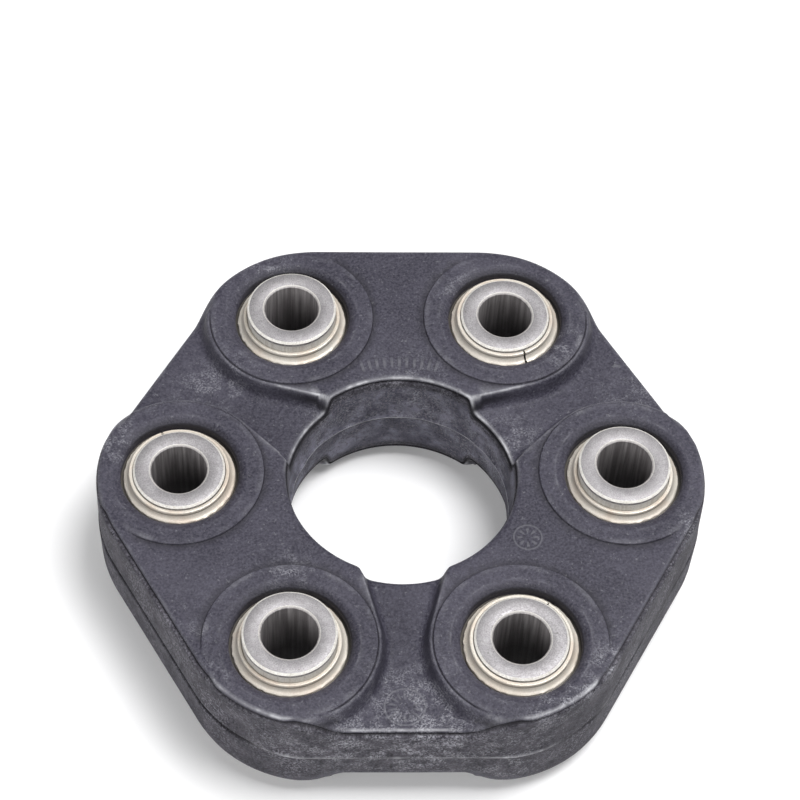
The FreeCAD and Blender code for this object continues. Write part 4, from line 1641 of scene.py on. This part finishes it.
# Painted shade, darker deeper in the bore.
depth = add_node(tree, "ShaderNodeMapRange", inputs=BORE_DEPTH)
tree.links.new(place_parts.outputs["Z"], depth.inputs["Value"])
bore = mix_colour(tree, streaks, *BORE_STEEL)
bore = mix_colour(tree, depth.outputs[0], bore, DEEP_BORE_SHADE)
print("steel faces and bores:", len(tree.nodes), "nodes")

# %% Painted light on chamfers and sides
PAINTED_LIGHT_STEEL = (0.93, 0.91, 0.86)
STREAK_COLOUR = (0.52, 0.46, 0.39)
SIDE_GRAIN = (0.22, 0.20, 0.18)


def grain_finish(tree, shader, grain, smoothest, roughest, strength, distance):
    """Lets a grain vary the roughness and lift the surface a little."""
    roughness = add_node(tree, "ShaderNodeMapRange", inputs={"To Min": smoothest, "To Max": roughest})
    tree.links.new(grain, roughness.inputs["Value"])
    tree.links.new(roughness.outputs[0], shader.inputs["Roughness"])
    bump = add_node(tree, "ShaderNodeBump", inputs={"Strength": strength, "Distance": distance})
    tree.links.new(grain, bump.inputs["Height"])
    tree.links.new(bump.outputs[0], shader.inputs["Normal"])


shade = mark(tree, "shade")
painted_light = mark(tree, "painted_light")
# Painted highlight on the chamfers and painted light on the sides; the shade mark brings the bore's colour
# and its painted shade.
face = mix_colour(tree, painted_light, face, PAINTED_LIGHT_STEEL)
face = coat(tree, face, math_node(tree, "MULTIPLY", streaks, painted_light), 0.45, STREAK_COLOUR)
face = coat(tree, face, grain, 0.25, SIDE_GRAIN)
tree.links.new(mix_colour(tree, shade, face, bore), shader.inputs["Base Color"])
metal_share = add_node(tree, "ShaderNodeMapRange", inputs={"To Min": 0.8, "To Max": 0.45})
tree.links.new(shade, metal_share.inputs["Value"])
metal_left = math_node(tree, "SUBTRACT", 1.0, math_node(tree, "MULTIPLY", painted_light, 0.9))
tree.links.new(math_node(tree, "MULTIPLY", metal_share.outputs[0], metal_left), shader.inputs["Metallic"])
grain_finish(tree, shader, grain, 0.50, 0.70, 0.25, 0.00005)
for sleeve in sleeves.values():
    sleeve.data.materials.append(steel)
print("sleeves dressed:", len(tree.nodes), "nodes")

# %% [markdown]
# ## Plated collars
#
# The pressed collars carry pale yellow zinc plating: creamy in the light, olive
# where it mirrors the rubber, with faint warm clouds in the film, and each collar
# a little different from the next. A half-metallic shader mirrors its surroundings
# softly, so the colour only needs the clouds, some grain and painted shade in the
# gaps and on the hub.

# %% Collar material
PLATING = (0.88, 0.86, 0.79), (0.88, 0.81, 0.71)
WARM_CLOUD = (0.74, 0.64, 0.54)
PLATING_GRAIN = (0.56, 0.54, 0.45)
LOT_TINT = (0.72, 0.56, 0.46)
GAP_SHADE_COLOUR = (0.03, 0.025, 0.02)

plating, tree, output = new_material("yellow_zinc_plating")
shader = new_shader(tree, output, Metallic=0.45)
grain = use_group(tree, grain_group, Scale=3000.0)
cloud = use_group(tree, patch_group, Scale=70.0, Low=0.42, High=0.62)
second_cloud = use_group(tree, patch_group, Scale=140.0, Low=0.5, High=0.62)
lot = add_node(tree, "ShaderNodeObjectInfo")
colour = mix_colour(tree, cloud, *PLATING)
colour = coat(tree, colour, second_cloud, 0.5, WARM_CLOUD)
colour = coat(tree, colour, grain, 0.35, PLATING_GRAIN)
colour = coat(tree, colour, lot.outputs["Random"], 0.3, LOT_TINT)
# Painted shade in the gaps, the slit and on the hub.
colour = mix_colour(tree, mark(tree, "shade"), colour, GAP_SHADE_COLOUR)
tree.links.new(colour, shader.inputs["Base Color"])
grain_finish(tree, shader, grain, 0.42, 0.62, 0.2, 0.00004)
for collar in collars.values():
    collar.data.materials.append(plating)
print("collars dressed:", len(tree.nodes), "nodes")

# %% [markdown]
# ## Inside the moulding
#
# The wound cord and the flat rings between the packs never show, but every node
# gets a finish all the same, so that a cut-open view looks right: pale ribbed
# cord and plain rolled steel. Their frame solids are true enough to keep, so only
# their material is changed.

# %% Wound cord
CORD_COLOURS = (0.30, 0.27, 0.21), (0.62, 0.58, 0.48)
CORD_WAVE = {"Scale": 380.0, "Distortion": 1.5}

cord_material, tree, output = new_material("wound_cord")
shader = new_shader(tree, output, Roughness=0.85)
cord_wave = add_node(tree, "ShaderNodeTexWave", bands_direction="Z", inputs=CORD_WAVE)
cord = cord_wave.outputs["Fac"]
tree.links.new(mix_colour(tree, cord, *CORD_COLOURS), shader.inputs["Base Color"])
bump = add_node(tree, "ShaderNodeBump", inputs={"Strength": 0.6, "Distance": 0.0003})
tree.links.new(cord, bump.inputs["Height"])
tree.links.new(bump.outputs[0], shader.inputs["Normal"])
print("cord material:", len(tree.nodes), "nodes")

# %% Rolled steel, and dressing the hidden nodes
RING_STEEL = (0.34, 0.34, 0.35), (0.52, 0.52, 0.53)

ring_material, tree, output = new_material("rolled_steel")
shader = new_shader(tree, output, Metallic=1.0, Roughness=0.5)
grain = use_group(tree, grain_group, Scale=2000.0)
tree.links.new(mix_colour(tree, grain, *RING_STEEL), shader.inputs["Base Color"])


def dress(node_name, material):
    """Gives a frame node one material in place of what it came with."""
    data = frame["nodes"][node_name].data
    data.materials.clear()
    data.materials.append(material)


for name in frame["nodes"]:
    if "cord_pack" in name:
        dress(name, cord_material)
    elif "separator" in name:
        dress(name, ring_material)
print("hidden pieces dressed:", sum("cord_pack" in n or "separator" in n for n in frame["nodes"]))
